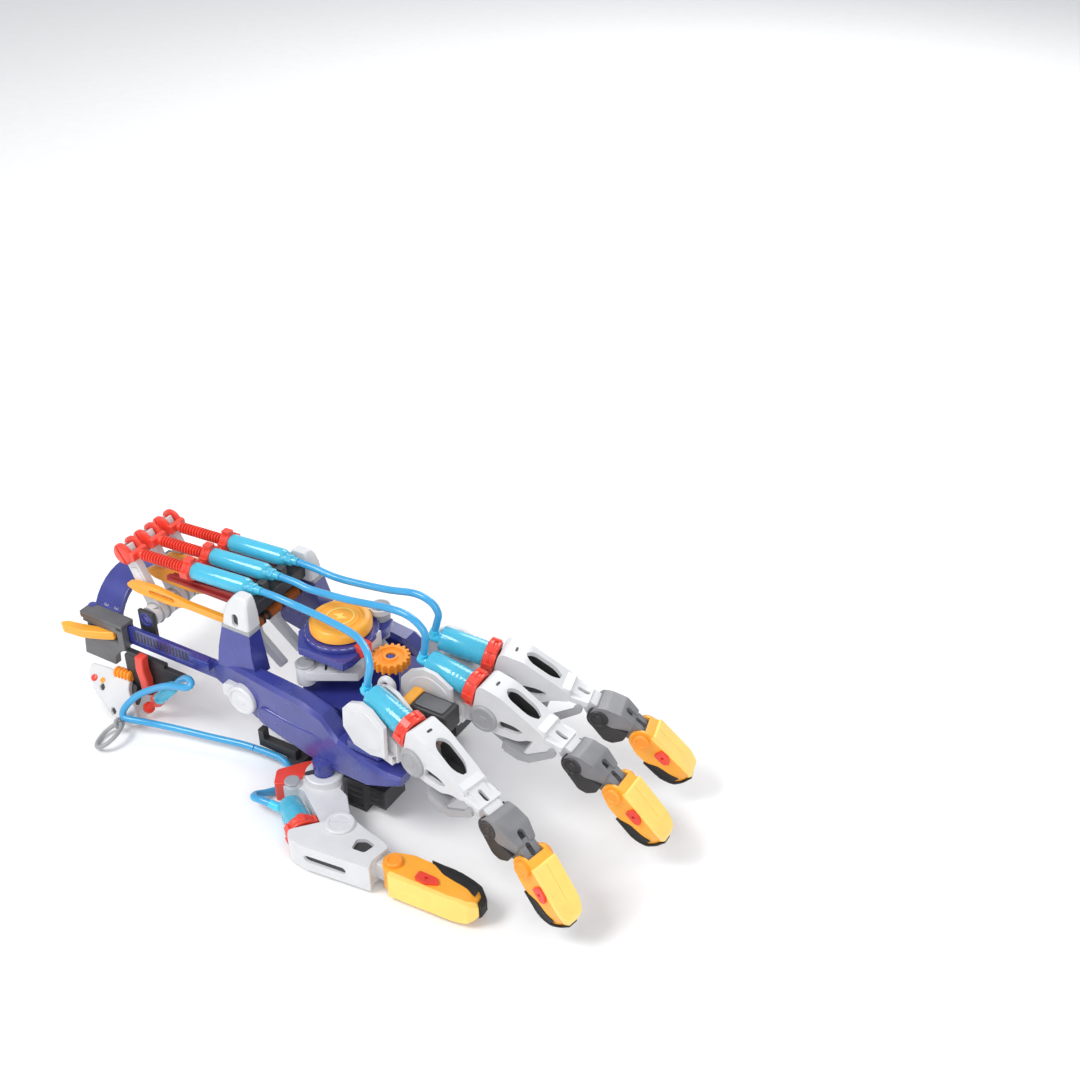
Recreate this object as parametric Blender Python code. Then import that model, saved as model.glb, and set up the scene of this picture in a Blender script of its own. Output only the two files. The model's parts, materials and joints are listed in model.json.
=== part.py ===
"""Wearable hydraulic hand: three fingers and a thumb, each driven by a pair of linked syringes.

Lengths are in millimetres until a mesh is made, and metres after that. The design datum is the rear end of
the thumb slide's top face, on the hand's middle plane: +X to the fingertips, -Y to the thumb, +Z up.
The world origin is the middle of the palm foot's flat underside.
"""

import math

import bmesh
import bpy
from mathutils import Matrix, Vector

MM = 0.001
FLOOR = -57.0  # height of the surface the hand rests on, below the datum
FOOT_X = 186.0  # middle of the palm foot, ahead of the datum
GAP = 0.3  # between pieces that touch

# Input side: levers, syringes, finger rings
LANE = 16.6  # sideways pitch of the three input syringes
SHAFT_X, SHAFT_Z = 43.0, 4.0  # lever shaft
KNOB_X, KNOB_Z = 27.0, 42.2  # piston knob at rest
SYRINGE_TILT = 3.5  # degrees, nose up
BARREL_START, BARREL_END, NOZZLE_END = 49.0, 93.0, 102.0  # along the syringe from the knob
BARREL_R = 5.2
BAR_Z = 21.5  # pull bar's height
BAR_UP_LEVER = 16.5  # from the lever's shaft to the pull bar's pivot

# Output side: a finger is drawn in its own frame, X along the bone, Z to the back of the hand
BONE_1, BONE_2, BONE_3 = 55.4, 26.2, 38.1
CYL_R = 7.2
CYL_Z = 9.3  # output cylinder's axis above the knuckle hinge
CYL_REACH = (-42.0, -14.5)  # output cylinder's rear end and its collar, from the knuckle hinge
HALF = 8.6  # half the finger's width
INNER = 5.9  # half the finger's hollow
LINK_K = (0.0, -6.5)  # curl link's rear pivot, on the knuckle
LINK_E = (43.0, 3.0)  # curl link's front eye
PUSH_PIN = (0.0, CYL_Z)  # pin that the output rod pushes, above the knuckle hinge
PIVOT_BACK = 40.0  # splay pivot behind the knuckle hinge
FINGERS = {  # hinge (x, y, z), splay, and the pitch of each bone below level, in degrees
    "front": ((259.1, -49.2, 10.65), -11.8, (13.9, 27.8, 50.7)),
    "middle": ((270.2, -0.6, 10.65), 0.8, (11.5, 24.3, 46.3)),
    "back": ((262.6, 28.5, 10.65), 15.0, (13.8, 26.4, 47.0)),
}

# Thumb: the same kind of finger, laid on its side
THUMB_HINGE = (218.0, -75.0, -46.5)
THUMB_TURN = -9.7  # degrees about Z
THUMB_SWIVEL = (186.0, -47.0, -46.5)
THUMB_BONE = 41.6
THUMB_TIP_TURN = 13.0
THUMB_CYL_START, THUMB_CYL_TURN = (-40.0, 2.0), 23.1  # from the thumb's hinge, outward
THUMB_ROD_PIN = 33.0  # along the thumb cylinder

HOSE_R = 2.1
SIDES = 16  # sides of a small round piece
SMOOTH_TO = 40.0  # degrees between faces that are shaded as one

FRONT_HOSE = [(128.9, -16.6, 48.45), (140, -16.8, 48.6), (154, -17, 47.8), (176, -20, 49), (200, -26, 51.5),
              (213, -33, 51.5), (220, -39.5, 47.5), (219.4, -40.9, 40.9), (218.05, -40.6, 35.1)]
MIDDLE_HOSE = [(128.9, 0, 48.45), (140, 0, 48.2), (151, 0, 47.2), (176, 0, 49.5), (204, -0.6, 54.5),
               (219, -1, 54.5), (228.2, -1.2, 48), (228.3, -1.2, 39), (227.3, -1.2, 33.3)]
BACK_HOSE = [(128.9, 16.6, 48.45), (140, 16.6, 48.2), (158, 16.8, 47), (188, 18.5, 49.5), (209, 18.5, 54),
             (220, 18.3, 52), (224.4, 18.2, 46), (223.4, 18, 40.4), (222.05, 17.65, 35)]
THUMB_HOSE_REAR = [(76.5, -43.4, -20.1), (81, -43.6, -15.4), (88, -45, -10.6), (93.2, -47.6, -10.4),
                   (91.5, -50, -12.4), (84, -50.6, -14.2), (76, -50.5, -17), (64, -50.8, -24),
                   (53, -53.2, -31.5), (46.5, -56.5, -38.3), (43.5, -59.2, -43.8), (44.6, -60.4, -46.8),
                   (49, -59.8, -47.2),
                   (58, -56.5, -48), (72, -51.5, -49.5), (98, -45.5, -50.2), (118, -41, -50.5),
                   (127.2, -39.6, -50.6)]
THUMB_HOSE_FRONT = [(128, -39.5, -50.6), (138, -38.9, -50.6), (147, -38.9, -50.8), (154.5, -41.5, -52.4),
                    (159, -48, -54.4), (158.8, -56, -54.8), (155.4, -63.5, -53.6), (153.6, -70, -50.5),
                    (156.4, -74.6, -47.6), (162.3, -75.2, -46.5), (168.3, -74.8, -46.5)]

COLOURS = {
    "blue": ((0.055, 0.06, 0.42), 0.3, 0.0),
    "white": ((0.78, 0.79, 0.82), 0.38, 0.0),
    "red": ((0.75, 0.06, 0.035), 0.35, 0.0),
    "teal": ((0.02, 0.42, 0.62), 0.12, 0.0),
    "hose": ((0.05, 0.38, 0.78), 0.25, 0.0),
    "orange": ((0.9, 0.36, 0.03), 0.4, 0.0),
    "yellow": ((0.92, 0.5, 0.05), 0.4, 0.0),
    "dark": ((0.05, 0.048, 0.05), 0.5, 0.0),
    "grey": ((0.16, 0.165, 0.175), 0.45, 0.0),
    "light_grey": ((0.5, 0.5, 0.52), 0.45, 0.0),
}

for old in list(bpy.data.objects):
    bpy.data.objects.remove(old)
scene = bpy.context.scene
parts = bpy.data.collections.new("hydraulic_hand")
cutters = bpy.data.collections.new("cutters")
scene.collection.children.link(parts)
scene.collection.children.link(cutters)


# ---------------------------------------------------------------- frames and materials

def frame(name, parent=None, at=(0, 0, 0), turn=(0, 0, 0)):
    """An empty to model in: at is in mm in the parent's frame, turn in degrees."""
    empty = bpy.data.objects.new(name, None)
    empty.location = [v * MM for v in at]
    empty.rotation_euler = [math.radians(v) for v in turn]
    empty.parent = parent
    empty.empty_display_size = 0.01
    parts.objects.link(empty)
    return empty


def look(name):
    found = bpy.data.materials.get(name)
    if found:
        return found
    colour, roughness, metallic = COLOURS[name]
    made = bpy.data.materials.new(name)
    made.use_nodes = True
    shader = made.node_tree.nodes["Principled BSDF"]
    shader.inputs["Base Color"].default_value = (*colour, 1)
    shader.inputs["Roughness"].default_value = roughness
    shader.inputs["Metallic"].default_value = metallic
    return made


# ---------------------------------------------------------------- shapes

def mesh_of(bm, name):
    bmesh.ops.recalc_face_normals(bm, faces=bm.faces)
    bmesh.ops.scale(bm, verts=bm.verts, vec=(MM, MM, MM))
    mesh = bpy.data.meshes.new(name)
    bm.to_mesh(mesh)
    bm.free()
    mesh.shade_smooth()
    mesh.set_sharp_from_angle(angle=math.radians(SMOOTH_TO))
    return mesh


def block(x, y, z):
    """A box from its limits along each axis."""
    bm = bmesh.new()
    bmesh.ops.create_cube(bm, size=1)
    size = (x[1] - x[0], y[1] - y[0], z[1] - z[0])
    middle = ((x[0] + x[1]) / 2, (y[0] + y[1]) / 2, (z[0] + z[1]) / 2)
    bmesh.ops.scale(bm, verts=bm.verts, vec=size)
    bmesh.ops.translate(bm, verts=bm.verts, vec=middle)
    return mesh_of(bm, "block")


def rod(start, end, r, r_end=None, sides=SIDES):
    """A round bar between two points."""
    start = Vector(start)
    way = Vector(end) - start
    bm = bmesh.new()
    far_r = r if r_end is None else r_end
    bmesh.ops.create_cone(bm, cap_ends=True, segments=sides, radius1=r, radius2=far_r, depth=way.length)
    turn = way.to_track_quat("Z", "Y").to_matrix().to_4x4()
    bmesh.ops.transform(bm, verts=bm.verts, matrix=Matrix.Translation(start + way / 2) @ turn)
    return mesh_of(bm, "rod")


def plate(outline, low, high, lie="xz"):
    """An outline in the XZ, XY or YZ plane, extruded between low and high along the third axis."""
    curve = bpy.data.curves.new("outline", "CURVE")
    curve.dimensions = "2D"
    curve.fill_mode = "BOTH"
    curve.extrude = (high - low) / 2
    line = curve.splines.new("POLY")
    line.points.add(len(outline) - 1)
    for point, (a, b) in zip(line.points, outline):
        point.co = (a, b, 0, 1)
    line.use_cyclic_u = True
    drawn = bpy.data.objects.new("outline", curve)
    scene.collection.objects.link(drawn)
    ready = drawn.evaluated_get(bpy.context.evaluated_depsgraph_get())
    mesh = bpy.data.meshes.new_from_object(ready)
    bpy.data.objects.remove(drawn)
    bm = bmesh.new()
    bm.from_mesh(mesh)
    bpy.data.meshes.remove(mesh)
    bmesh.ops.remove_doubles(bm, verts=bm.verts, dist=0.0001)
    middle = (low + high) / 2
    stand = {
        "xz": Matrix(((1, 0, 0, 0), (0, 0, -1, middle), (0, 1, 0, 0), (0, 0, 0, 1))),
        "xy": Matrix.Translation((0, 0, middle)),
        "yz": Matrix(((0, 0, 1, middle), (1, 0, 0, 0), (0, 1, 0, 0), (0, 0, 0, 1))),
    }[lie]
    bmesh.ops.transform(bm, verts=bm.verts, matrix=stand)
    return mesh_of(bm, "plate")


def loft(sections):
    """A closed skin through sections that each have the same number of points."""
    bm = bmesh.new()
    rings = [[bm.verts.new(p) for p in section] for section in sections]
    count = len(rings[0])
    for ring, after in zip(rings, rings[1:]):
        for i in range(count):
            j = (i + 1) % count
            bm.faces.new((ring[i], ring[j], after[j], after[i]))
    bm.faces.new(rings[0])
    bm.faces.new(rings[-1])
    return mesh_of(bm, "loft")


def arc(x, z, r, start, end, steps):
    """Points on an arc, its angles in degrees."""
    angles = [math.radians(start + (end - start) * i / steps) for i in range(steps + 1)]
    return [(x + r * math.cos(a), z + r * math.sin(a)) for a in angles]


def tool(mesh, parent, name):
    made = bpy.data.objects.new(name, mesh)
    made.parent = parent
    made.hide_render = True
    made.display_type = "WIRE"
    cutters.objects.link(made)
    return made


def solid(name, parent, colour, add, cut=()):
    """A sub-part: the first mesh with the others joined to it, and cut's meshes taken out."""
    made = bpy.data.objects.new(name, add[0])
    made.parent = parent
    made.data.materials.append(look(colour))
    parts.objects.link(made)
    for kind, meshes in (("UNION", add[1:]), ("DIFFERENCE", cut)):
        for i, mesh in enumerate(meshes):
            step = made.modifiers.new(f"{kind} {i}", "BOOLEAN")
            step.operation = kind
            step.solver = "EXACT"
            step.object = tool(mesh, parent, f"{name} {kind.lower()} {i}")
    return made


def join(made, mesh):
    """Unites one more mesh with a sub-part, after its cuts."""
    step = made.modifiers.new("JOIN", "BOOLEAN")
    step.operation = "UNION"
    step.solver = "EXACT"
    step.object = tool(mesh, made.parent, f"{made.name} joined")


def cross_pin(place):
    """The pin across a bone's hollow that the piston rod pushes."""
    x, z = place
    return rod((x, -INNER - 1, z), (x, INNER + 1, z), 1.5, sides=12)


def smooth_route(points, step):
    """Points about step apart on a Catmull-Rom curve through the given ones."""
    given = [Vector(p) for p in points]
    given = [2 * given[0] - given[1]] + given + [2 * given[-1] - given[-2]]
    route = []
    for a, b, c, d in zip(given, given[1:], given[2:], given[3:]):
        count = max(1, round((c - b).length / step))
        for i in range(count):
            t = i / count
            route.append(0.5 * (2 * b + (c - a) * t + (2 * a - 5 * b + 4 * c - d) * t**2
                                + (3 * b - a - 3 * c + d) * t**3))
    return route + [given[-2]]


def hose(name, parent, points):
    curve = bpy.data.curves.new(name, "CURVE")
    curve.dimensions = "3D"
    curve.bevel_depth = HOSE_R * MM
    curve.bevel_resolution = 2
    curve.use_fill_caps = True
    route = smooth_route(points, 5.5)
    line = curve.splines.new("POLY")
    line.points.add(len(route) - 1)
    for point, place in zip(line.points, route):
        point.co = (*(place * MM), 1)
    made = bpy.data.objects.new(name, curve)
    made.parent = parent
    curve.materials.append(look("hose"))
    parts.objects.link(made)


# ---------------------------------------------------------------- frame of the hand

def section(x, y_in, y_out, z_low, z_high, chamfer=2.2):
    """One eight-sided section of a side frame, across X."""
    c = chamfer
    return [(x, y_in, z_low + c), (x, y_in, z_high - c), (x, y_in - c, z_high), (x, y_out + c, z_high),
            (x, y_out, z_high - c), (x, y_out, z_low + c), (x, y_out + c, z_low), (x, y_in - c, z_low)]


def mirrored(mesh, side):
    """The mesh as drawn for the thumb side, or its mirror image for side = 1."""
    if side < 0:
        return mesh
    bm = bmesh.new()
    bm.from_mesh(mesh)
    bmesh.ops.scale(bm, verts=bm.verts, vec=(1, -1, 1))
    bmesh.ops.reverse_faces(bm, faces=bm.faces)
    made = bpy.data.meshes.new(mesh.name)
    bm.to_mesh(made)
    bm.free()
    return made


def side_frame(name, side, datum):
    shell = loft([
        section(100, -29, -34.5, -14.5, -1.5),
        section(108, -29, -36.5, -16, 3.5),
        section(118, -29, -38.5, -18, 6),
        section(134, -30, -41.5, -24.5, 7),
        section(150, -31, -43.5, -28, 7),
        section(172, -32, -45, -33, 6),
        section(187, -33, -46.5, -34, 2.5),
        section(198, -34, -48, -33, -8.2),
        section(206, -36, -50, -31, -8.2),
        section(222, -38, -54.5, -26, -8.2),
        section(236, -42, -56.5, -19, -8.2),
        section(246, -46, -55, -14.5, -8.4, 1.4),
    ])
    head = block((-2, 101), (-33.5, -31), (-14, -1.5))
    web = block((-2, 101), (-31.2, -29), (-11, -5))
    steps = ((106.5, 135, -37.2, 2), (109, 133, -36.8, 16), (111.5, 131, -34, 31))
    tower = loft([[(x0, y, z), (x1, y, z), (x1, -25, z), (x0, -25, z)] for x0, x1, y, z in steps])
    stop = block((84.5, 97), (-36, -33.3), (-4.5, -0.5))
    bolt = rod((127, -36, -12), (127, -43.2, -12), 9)
    lug = block((113, 121), (-41, -37), (-13.5, -7))
    pieces = [shell, head, web, tower, stop, bolt, lug]
    if side > 0:
        pieces.append(block((1, 32), (-38.2, -30), (-17.6, 1)))
    else:
        x, y, z = THUMB_SWIVEL
        pieces += [rod((x, y, z + 10), (x, y, -28), 6), rod((x, y, z - 4), (x, y, z + 11), 2.9, sides=12)]
    solid(name, datum, "blue", [mirrored(p, side) for p in pieces])


def rear_arch(datum):
    half, top, thick = 28.1, 15.5, 3.5
    rise = top + 5
    radius = (half**2 + rise**2) / (2 * rise)
    low = math.degrees(math.asin((radius - rise) / radius))
    centre = top - radius
    band = arc(0, centre, radius, low, 180 - low, 14) + arc(0, centre, radius - thick, 180 - low, low, 14)
    feet = [block((-1, 20), (side * 28.1, side * 24.2)[:: -side], (-11, 0)) for side in (-1, 1)]
    solid("rear_arch", datum, "blue", [plate(band, -1, 20, "yz"), *feet])


def lever_shaft(datum):
    pieces = [rod((SHAFT_X, -28, SHAFT_Z), (SHAFT_X, 28, SHAFT_Z), 2.6)]
    for side in (-1, 1):
        outer, inner = sorted((side * 28.0, side * 25.2))
        pieces.append(block((37, 49), (outer, inner), (-11, 9.5)))
    solid("lever_shaft", datum, "blue", pieces)


def syringe_bridge(datum):
    """The cross beam, the cap on each tower, and a carrier under each barrel."""
    caps = [loft([[(x0, side * ya, z), (x1, side * ya, z), (x1, side * yb, z), (x0, side * yb, z)]
                  for x0, x1, ya, yb, z in ((111.5, 131, 34, 22.9, 31.4), (113.5, 130.5, 33.4, 22.9, 42),
                                            (117, 129, 30.5, 23.4, 50))]) for side in (-1, 1)]
    beam = block((116, 127), (-26, 26), (34, 41.6))
    posts = [block((119, 124), (y - 1.4, y + 1.4), (41, 48)) for y in (-LANE / 2, LANE / 2)]
    tray = [(56, 31.8), (120, 31.8), (120, 41.6), (82, 38.2), (56, 35)]
    carriers = [plate(tray, LANE * i - 1.5, LANE * i + 1.5) for i in (-1, 0, 1)]
    solid("syringe_bridge", datum, "dark", [beam, *caps, *posts, *carriers])


def palm(datum):
    deck = plate([(148, -12), (157, -24), (188, -24), (190, -18), (190, -9.6), (181.5, -9.6), (181.5, 9.6),
                  (190, 9.6), (190, 18), (188, 24), (157, 24), (148, 12)], 20, 25, "xy")
    stem = block((156, 180), (-8, 8), (-7, 21))
    front = plate([(158, -28), (198, -30.5), (207, -49), (228, -50), (237, -40), (241, -8), (238, 10),
                   (232, 27), (205, 30), (158, 28)], -7.4, -2.4, "xy")
    pins = [rod((x, y, -3), (x, y, 3), 3) for x, y in (splay_pivot(name)[:2] for name in FINGERS)]
    post = rod((203, 0, -3), (203, 0, 15), 4)
    gear_pin = rod((203, 0, 14), (203, 0, 20), 2.5)
    light = block((231, 259), (-29, -16), (8, 20))
    light_stem = block((231, 238), (-25.5, -19.5), (-4, 9))
    solid("palm_deck", datum, "blue", [front, deck, stem, post, gear_pin, light, light_stem, *pins])

    ring = rod((169.6, 0, 25.3), (169.6, 0, 28), 21, sides=28)
    drop = block((183, 190.5), (-9, 9), (8, 27.5))
    arms = []
    for side in (-1, 1):
        outline = [(182.5, 7), (190.5, 7), (190.5, 15), (166, 29), (156, 25.5), (160, 18.5), (182.5, 10)]
        arms.append(plate([(x, side * y) for x, y in outline], 8, 13.5, "xy"))
        arms.append(rod((161, side * 24.3, 3), (161, side * 24.3, 15.5), 5.6))
    solid("palm_bridge", datum, "white", [ring, drop, *arms],
          [rod((169.6, 0, 24), (169.6, 0, 29), 3.3)])

    axle = frame("palm_disc_axis", datum, (169.6, 0, 28.4))
    solid("palm_disc", axle, "yellow", [rod((0, 0, 0), (0, 0, 5), 17.9, sides=28),
                                        rod((0, 0, 4.9), (0, 0, 7.8), 17.9, 15.2, sides=28),
                                        rod((0, 0, -2.6), (0, 0, 1), 3, sides=12)])
    axle = frame("spread_gear_axis", datum, (203, 0, 15.4))
    solid("spread_gear", axle, "orange", [rod((0, 0, 0), (0, 0, 5.6), 11.2, sides=24)],
          [rod((0, 0, -1), (0, 0, 6), 2.8, sides=12)])


def palm_foot(datum):
    sole = block((FOOT_X - 30, FOOT_X + 30), (-28, 28), (FLOOR, FLOOR + 5))
    column = block((160, 182), (-9, 9), (-53, -7.8))
    blocks = []
    for side in (-1, 1):
        outer, inner = side * 45.0, side * 26.0
        blocks.append(block((199.5, 212), sorted((inner, outer)), (FLOOR, -36.5)))
        blocks.append(block((211.5, 226), sorted((inner, outer)), (-49, -36)))
        tail = sorted((side * 24.0, side * 36.5))
        blocks.append(block((149, 160), tail, (FLOOR + 2, -50)))
        blocks.append(block((129, 156), sorted((side * 31.5, side * 36.5)), (-50, -44)))
        blocks.append(block((149, 156), sorted((side * 31.5, side * 36.5)), (FLOOR + 2, -44)))
        blocks.append(block((129, 133), sorted((side * 31.5, side * 36.5)), (-50, -38)))
    solid("palm_foot", datum, "dark", [sole, column, *blocks])


# ---------------------------------------------------------------- input side

def input_lane(i, finger, datum):
    y = LANE * i
    along = frame(f"input_axis_{finger}", datum, (KNOB_X, y, KNOB_Z), (0, -SYRINGE_TILT, 0))

    def on(s, r, end, r_end=None, sides=SIDES):
        return rod((s, 0, 0), (end, 0, 0), r, r_end, sides)

    solid(f"input_barrel_{finger}", along, "teal",
          [on(BARREL_START, BARREL_R, BARREL_END), on(BARREL_START - 3, 6.3, BARREL_START + 3.5),
           on(BARREL_END - 0.5, 3.4, BARREL_END + 3, 2.4), on(BARREL_END + 2.5, 2.3, NOZZLE_END - GAP)],
          [on(BARREL_START - 4, 4.1, BARREL_END - 2)])

    slide = frame(f"piston_axis_{finger}", along)
    discs = [rod((0, side * 3.1, 0), (0, side * 5.9, 0), 6.2) for side in (-1, 1)]
    solid(f"input_piston_{finger}", slide, "red",
          [on(8, 2.9, 55), on(54.5, 3.8, 57.5), block((6.4, 8.6), (-5.9, 5.9), (-2.8, 2.8)), *discs,
           block((0, 7), (-5.9, -3.2), (-2.8, 2.8)), block((0, 7), (3.2, 5.9), (-2.8, 2.8)),
           rod((0, -4, 0), (0, 4, 0), 1.5, sides=12)])

    reach = math.hypot(KNOB_X - SHAFT_X, KNOB_Z - SHAFT_Z)
    lean = math.degrees(math.atan2(SHAFT_X - KNOB_X, KNOB_Z - SHAFT_Z))
    hinge = frame(f"lever_axis_{finger}", datum, (SHAFT_X, y, SHAFT_Z))
    arm = frame(f"lever_lean_{finger}", hinge, (0, 0, 0), (0, -lean, 0))
    solid(f"lever_{finger}", arm, "white",
          [rod((0, -7.6, 0), (0, 7.6, 0), 6.4),
           plate([(-5, 0), (-4, reach + 4), (4, reach + 4), (6, 0)], -2.4, 2.4)],
          [rod((0, -9, 0), (0, 9, 0), 2.9), block((-2.1, 2.1), (-3, 3), (reach - 6, reach + 6))])

    level = frame(f"pull_bar_axis_{finger}", arm, (0, 0, BAR_UP_LEVER), (0, lean, 0))
    dx = BAR_UP_LEVER * math.sin(math.radians(lean)) - SHAFT_X
    dz = -BAR_UP_LEVER * math.cos(math.radians(lean)) - SHAFT_Z

    def here(points):
        return [(px + dx, pz + dz) for px, pz in points]

    z = BAR_Z
    low, high = -6.3, -2.9
    bar = plate(here([(29, z - 1), (33, z - 3.5), (40, z - 3.5), (62, z - 4), (70, z - 1.6), (112, z - 1.6),
                      (112, z + 2.4), (70, z + 2.6), (48, z + 5), (33, z + 3)]), low, high)
    ring = rod((107 + dx, 0, 22 + dz), (115 + dx, 0, 22 + dz), 7.8, sides=20)
    cheeks = [block((113 + dx, 121.5 + dx), (a, b), (19.5 + dz, 24.5 + dz)) for a, b in ((-7, -5), (5, 7))]
    roller = rod((120 + dx, -7, 22 + dz), (120 + dx, 7, 22 + dz), 3, sides=12)
    pieces = [bar, ring, *cheeks, roller]
    if i > -1:
        leg = here([(108.5, 16.5), (114.5, 16.5), (114.5, 8), (131, -7), (128, -9.5), (110, 6.5)])
        foot = block((108.5 + dx, 114.5 + dx), (-9.4, -3), (13.6 + dz, 16.5 + dz))
        pieces += [plate(leg, -9.4, -7.2), foot]
    bore = rod((100 + dx, 0, 22 + dz), (116 + dx, 0, 22 + dz), 5.7, sides=20)
    solid(f"pull_bar_{finger}", level, "orange", pieces, [bore])


# ---------------------------------------------------------------- output fingers

def splay_pivot(name):
    (x, y, z), splay, _ = FINGERS[name]
    turn = math.radians(splay)
    return (x - PIVOT_BACK * math.cos(turn), y - PIVOT_BACK * math.sin(turn), z)


def cylinder(name, parent):
    """A hollow cylinder along X, its collar at the front, and an elbow for the hose behind."""
    rear, collar = CYL_REACH
    pieces = [rod((rear, 0, CYL_Z), (collar + 1, 0, CYL_Z), CYL_R, sides=20),
              rod((collar, 0, CYL_Z), (collar + 6, 0, CYL_Z), 9.5, sides=20),
              rod((rear - 7, 0, CYL_Z - 1), (rear + 1, 0, CYL_Z - 1), 3.1, sides=12),
              rod((rear - 4.6, 0, CYL_Z - 1), (rear - 4.6, 0, CYL_Z + 3.8), 2.7, sides=12)]
    bore = rod((rear + 2, 0, CYL_Z), (collar + 7, 0, CYL_Z), 5.7, sides=20)
    solid(name, parent, "teal", pieces, [bore])


def output_rod(name, parent, rear, pin, z=CYL_Z):
    """A piston rod along X whose fork hooks over the cross pin of the bone it pushes."""
    head = rod((rear, 0, z), (rear + 4, 0, z), 5.2, sides=20)
    stem = rod((rear, 0, z), (pin - 4, 0, z), 2.4, sides=12)
    yoke = block((pin - 5.2, pin - 2.4), (-5.3, 5.3), (z - 2.4, z + 3.4))
    prong = [(pin - 5.2, z - 2.4), (pin - 3, z - 4.6), (pin + 3.2, z - 4.6), (pin + 3.2, z + 3.4),
             (pin - 5.2, z + 3.4)]
    prongs = [plate(prong, *sorted((side * 3.2, side * 5.3))) for side in (-1, 1)]
    slot = block((pin - 1.9, pin + 1.9), (-6, 6), (z - 6, z + 1.9))
    solid(name, parent, "grey", [head, stem, yoke, *prongs], [slot])


def knuckle(name, parent, pitch, ears, neat):
    """Ears beside the cylinder, a base over the splay pivot, and a tongue to the hinge; X is level here."""
    c, s = math.cos(math.radians(pitch)), math.sin(math.radians(pitch))
    k = (LINK_K[0] * c + LINK_K[1] * s, LINK_K[1] * c - LINK_K[0] * s)
    base = block((-47, -17), (-8.4, 8.4), (-12.5, -7))
    core = plate([(-46, -12.4), (-16, -12.4), (-15, 0.5), (-20, 3.5), (-38, 7.8), (-46, 1)], -5.5, 5.5)
    tongue = [(-17, -12)] + arc(*k, 3.2, -110, -20, 4) + arc(0, 0, 6.2, 0, 165, 8) + [(-16.5, 0.8)]
    hub = rod((0, -5.5, 0), (0, 5.5, 0), 2.9)
    ear = [(-52, 9), (-46, 16), (-37, 20.5), (-29, 19.5), (-19, 13), (-20, -8), (-32, -12.4), (-45, -12.4),
           (-53, -4)]
    slim = [(-40, 8), (-36, 13), (-29, 15), (-19, 12), (-20, -8), (-32, -12.4), (-38, -12.4), (-41, -4)]
    sides = []
    for side in ears:
        shape, out = (slim, 9.4) if side == neat else (ear, 10.6)
        sides.append(plate(shape, *sorted((side * 8.2, side * out))))
    pivot = rod((-PIVOT_BACK, 0, -14), (-PIVOT_BACK, 0, -6.5), 3.3)
    solid(name, parent, "white", [base, core, plate(tongue, -2.8, 2.8), hub, *sides], [pivot])


def proximal(name, parent):
    side = arc(0, 0, 8.05, 190, 290, 6) + [(12, -6), (22, -3.6), (28, 1.2), (37, 4.4), (37, 9.4), (28, 12.6),
                                          (7, 19.8), (-5, 20.2), (-7.7, 17.5)]
    nose = [(33, 3.6), (44, 2.6), (51, -4.6), *arc(BONE_1, 0, 5, -90, 60, 5), (51, 6.6), (46, 7.4), (33, 11)]
    hollow = [(-12, -16), (31, -16), (31.5, 8.6), (6.5, 17), (-12, 17.6)]
    knobs = [rod((0, s * 8.4, 0), (0, s * 10.4, 0), 8.4, sides=20) for s in (-1, 1)]
    clasp = block((38, 47.6), (-8.2, 8.2), (5.9, 8))
    window = block((11, 28), (-3.5, 3.5), (6, 26))
    made = solid(name, parent, "white",
                 [plate(side, -HALF, HALF), plate(nose, -5.4, 5.4), clasp, *knobs],
                 [plate(hollow, -INNER, INNER), window, rod((0, -7, 0), (0, 7, 0), 3.3)])
    join(made, cross_pin(PUSH_PIN))


def curl_link(name, parent):
    """Bowed under the finger, from the knuckle to an eye on each side of the second hinge."""
    kx, kz = LINK_K
    ex, ez = LINK_E
    fork = [(16, -13.4), (25, -14.4), (32, -12), (44.5, 0.6), *arc(ex, ez, 2.6, -20, 200, 6), (29, -8.4),
            (16, -8.4)]
    cheeks = [plate(fork, *sorted((s * 8.75, s * 10.4))) for s in (-1, 1)]
    bridge = plate([(14, -13.2), (25, -14.4), (26, -9), (14, -8.4)], -9.5, 9.5)
    shank = [*arc(kx, kz, 2.4, 80, 250, 6), (12, -12.8), (18, -13.4), (18, -8.4), (12, -8.2)]
    rear = plate(shank, -5.4, 5.4)
    solid(name, parent, "light_grey", [bridge, rear, *cheeks], [block((-6, 8.5), (-3.1, 3.1), (-14, 0))])


def middle_bone(name, parent):
    shell = arc(0, 0, 7, 130, 260, 6) + [(9, -12), (14, -11), (18.4, -5.6), (18.4, 7.4), (9.5, 10), (-2, 7.4)]
    tongue = [(15, -4.6)] + arc(BONE_2, 0, 4.4, -80, 80, 6) + [(15, 7)]
    solid(name, parent, "grey", [plate(shell, -8.4, 8.4), plate(tongue, -5.4, 5.4),
                                 rod((0, -8.9, 0), (0, -8.2, 0), 5), rod((0, 8.2, 0), (0, 8.9, 0), 5)],
          [block((-12, 6.4), (-5.8, 5.8), (-16, 5.9))])


def tip_bone(name, parent, length, height, knobs=(-1, 1)):
    k = length / BONE_3
    h = height / 10
    sole = [(5, -8.4), (26, -7.4), (34.5, -5), (38, -1), (37.5, 5), (34, 9), (26, 10)]
    side = (arc(0, 0, 6.6, 175, 250, 4) + [(x * k, z * h) for x, z in sole] + [(1.5, 10 * h), (-4.6, 6)])
    buttons = [rod((0, s * 7.8, 0.8), (0, s * 10, 0.8), 4.4) for s in knobs]
    hollow = block((-12, 6.2), (-5.8, 5.8), (-12, 6.2))
    solid(name, parent, "yellow", [plate(side, -8, 8), *buttons], [hollow])


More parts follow.
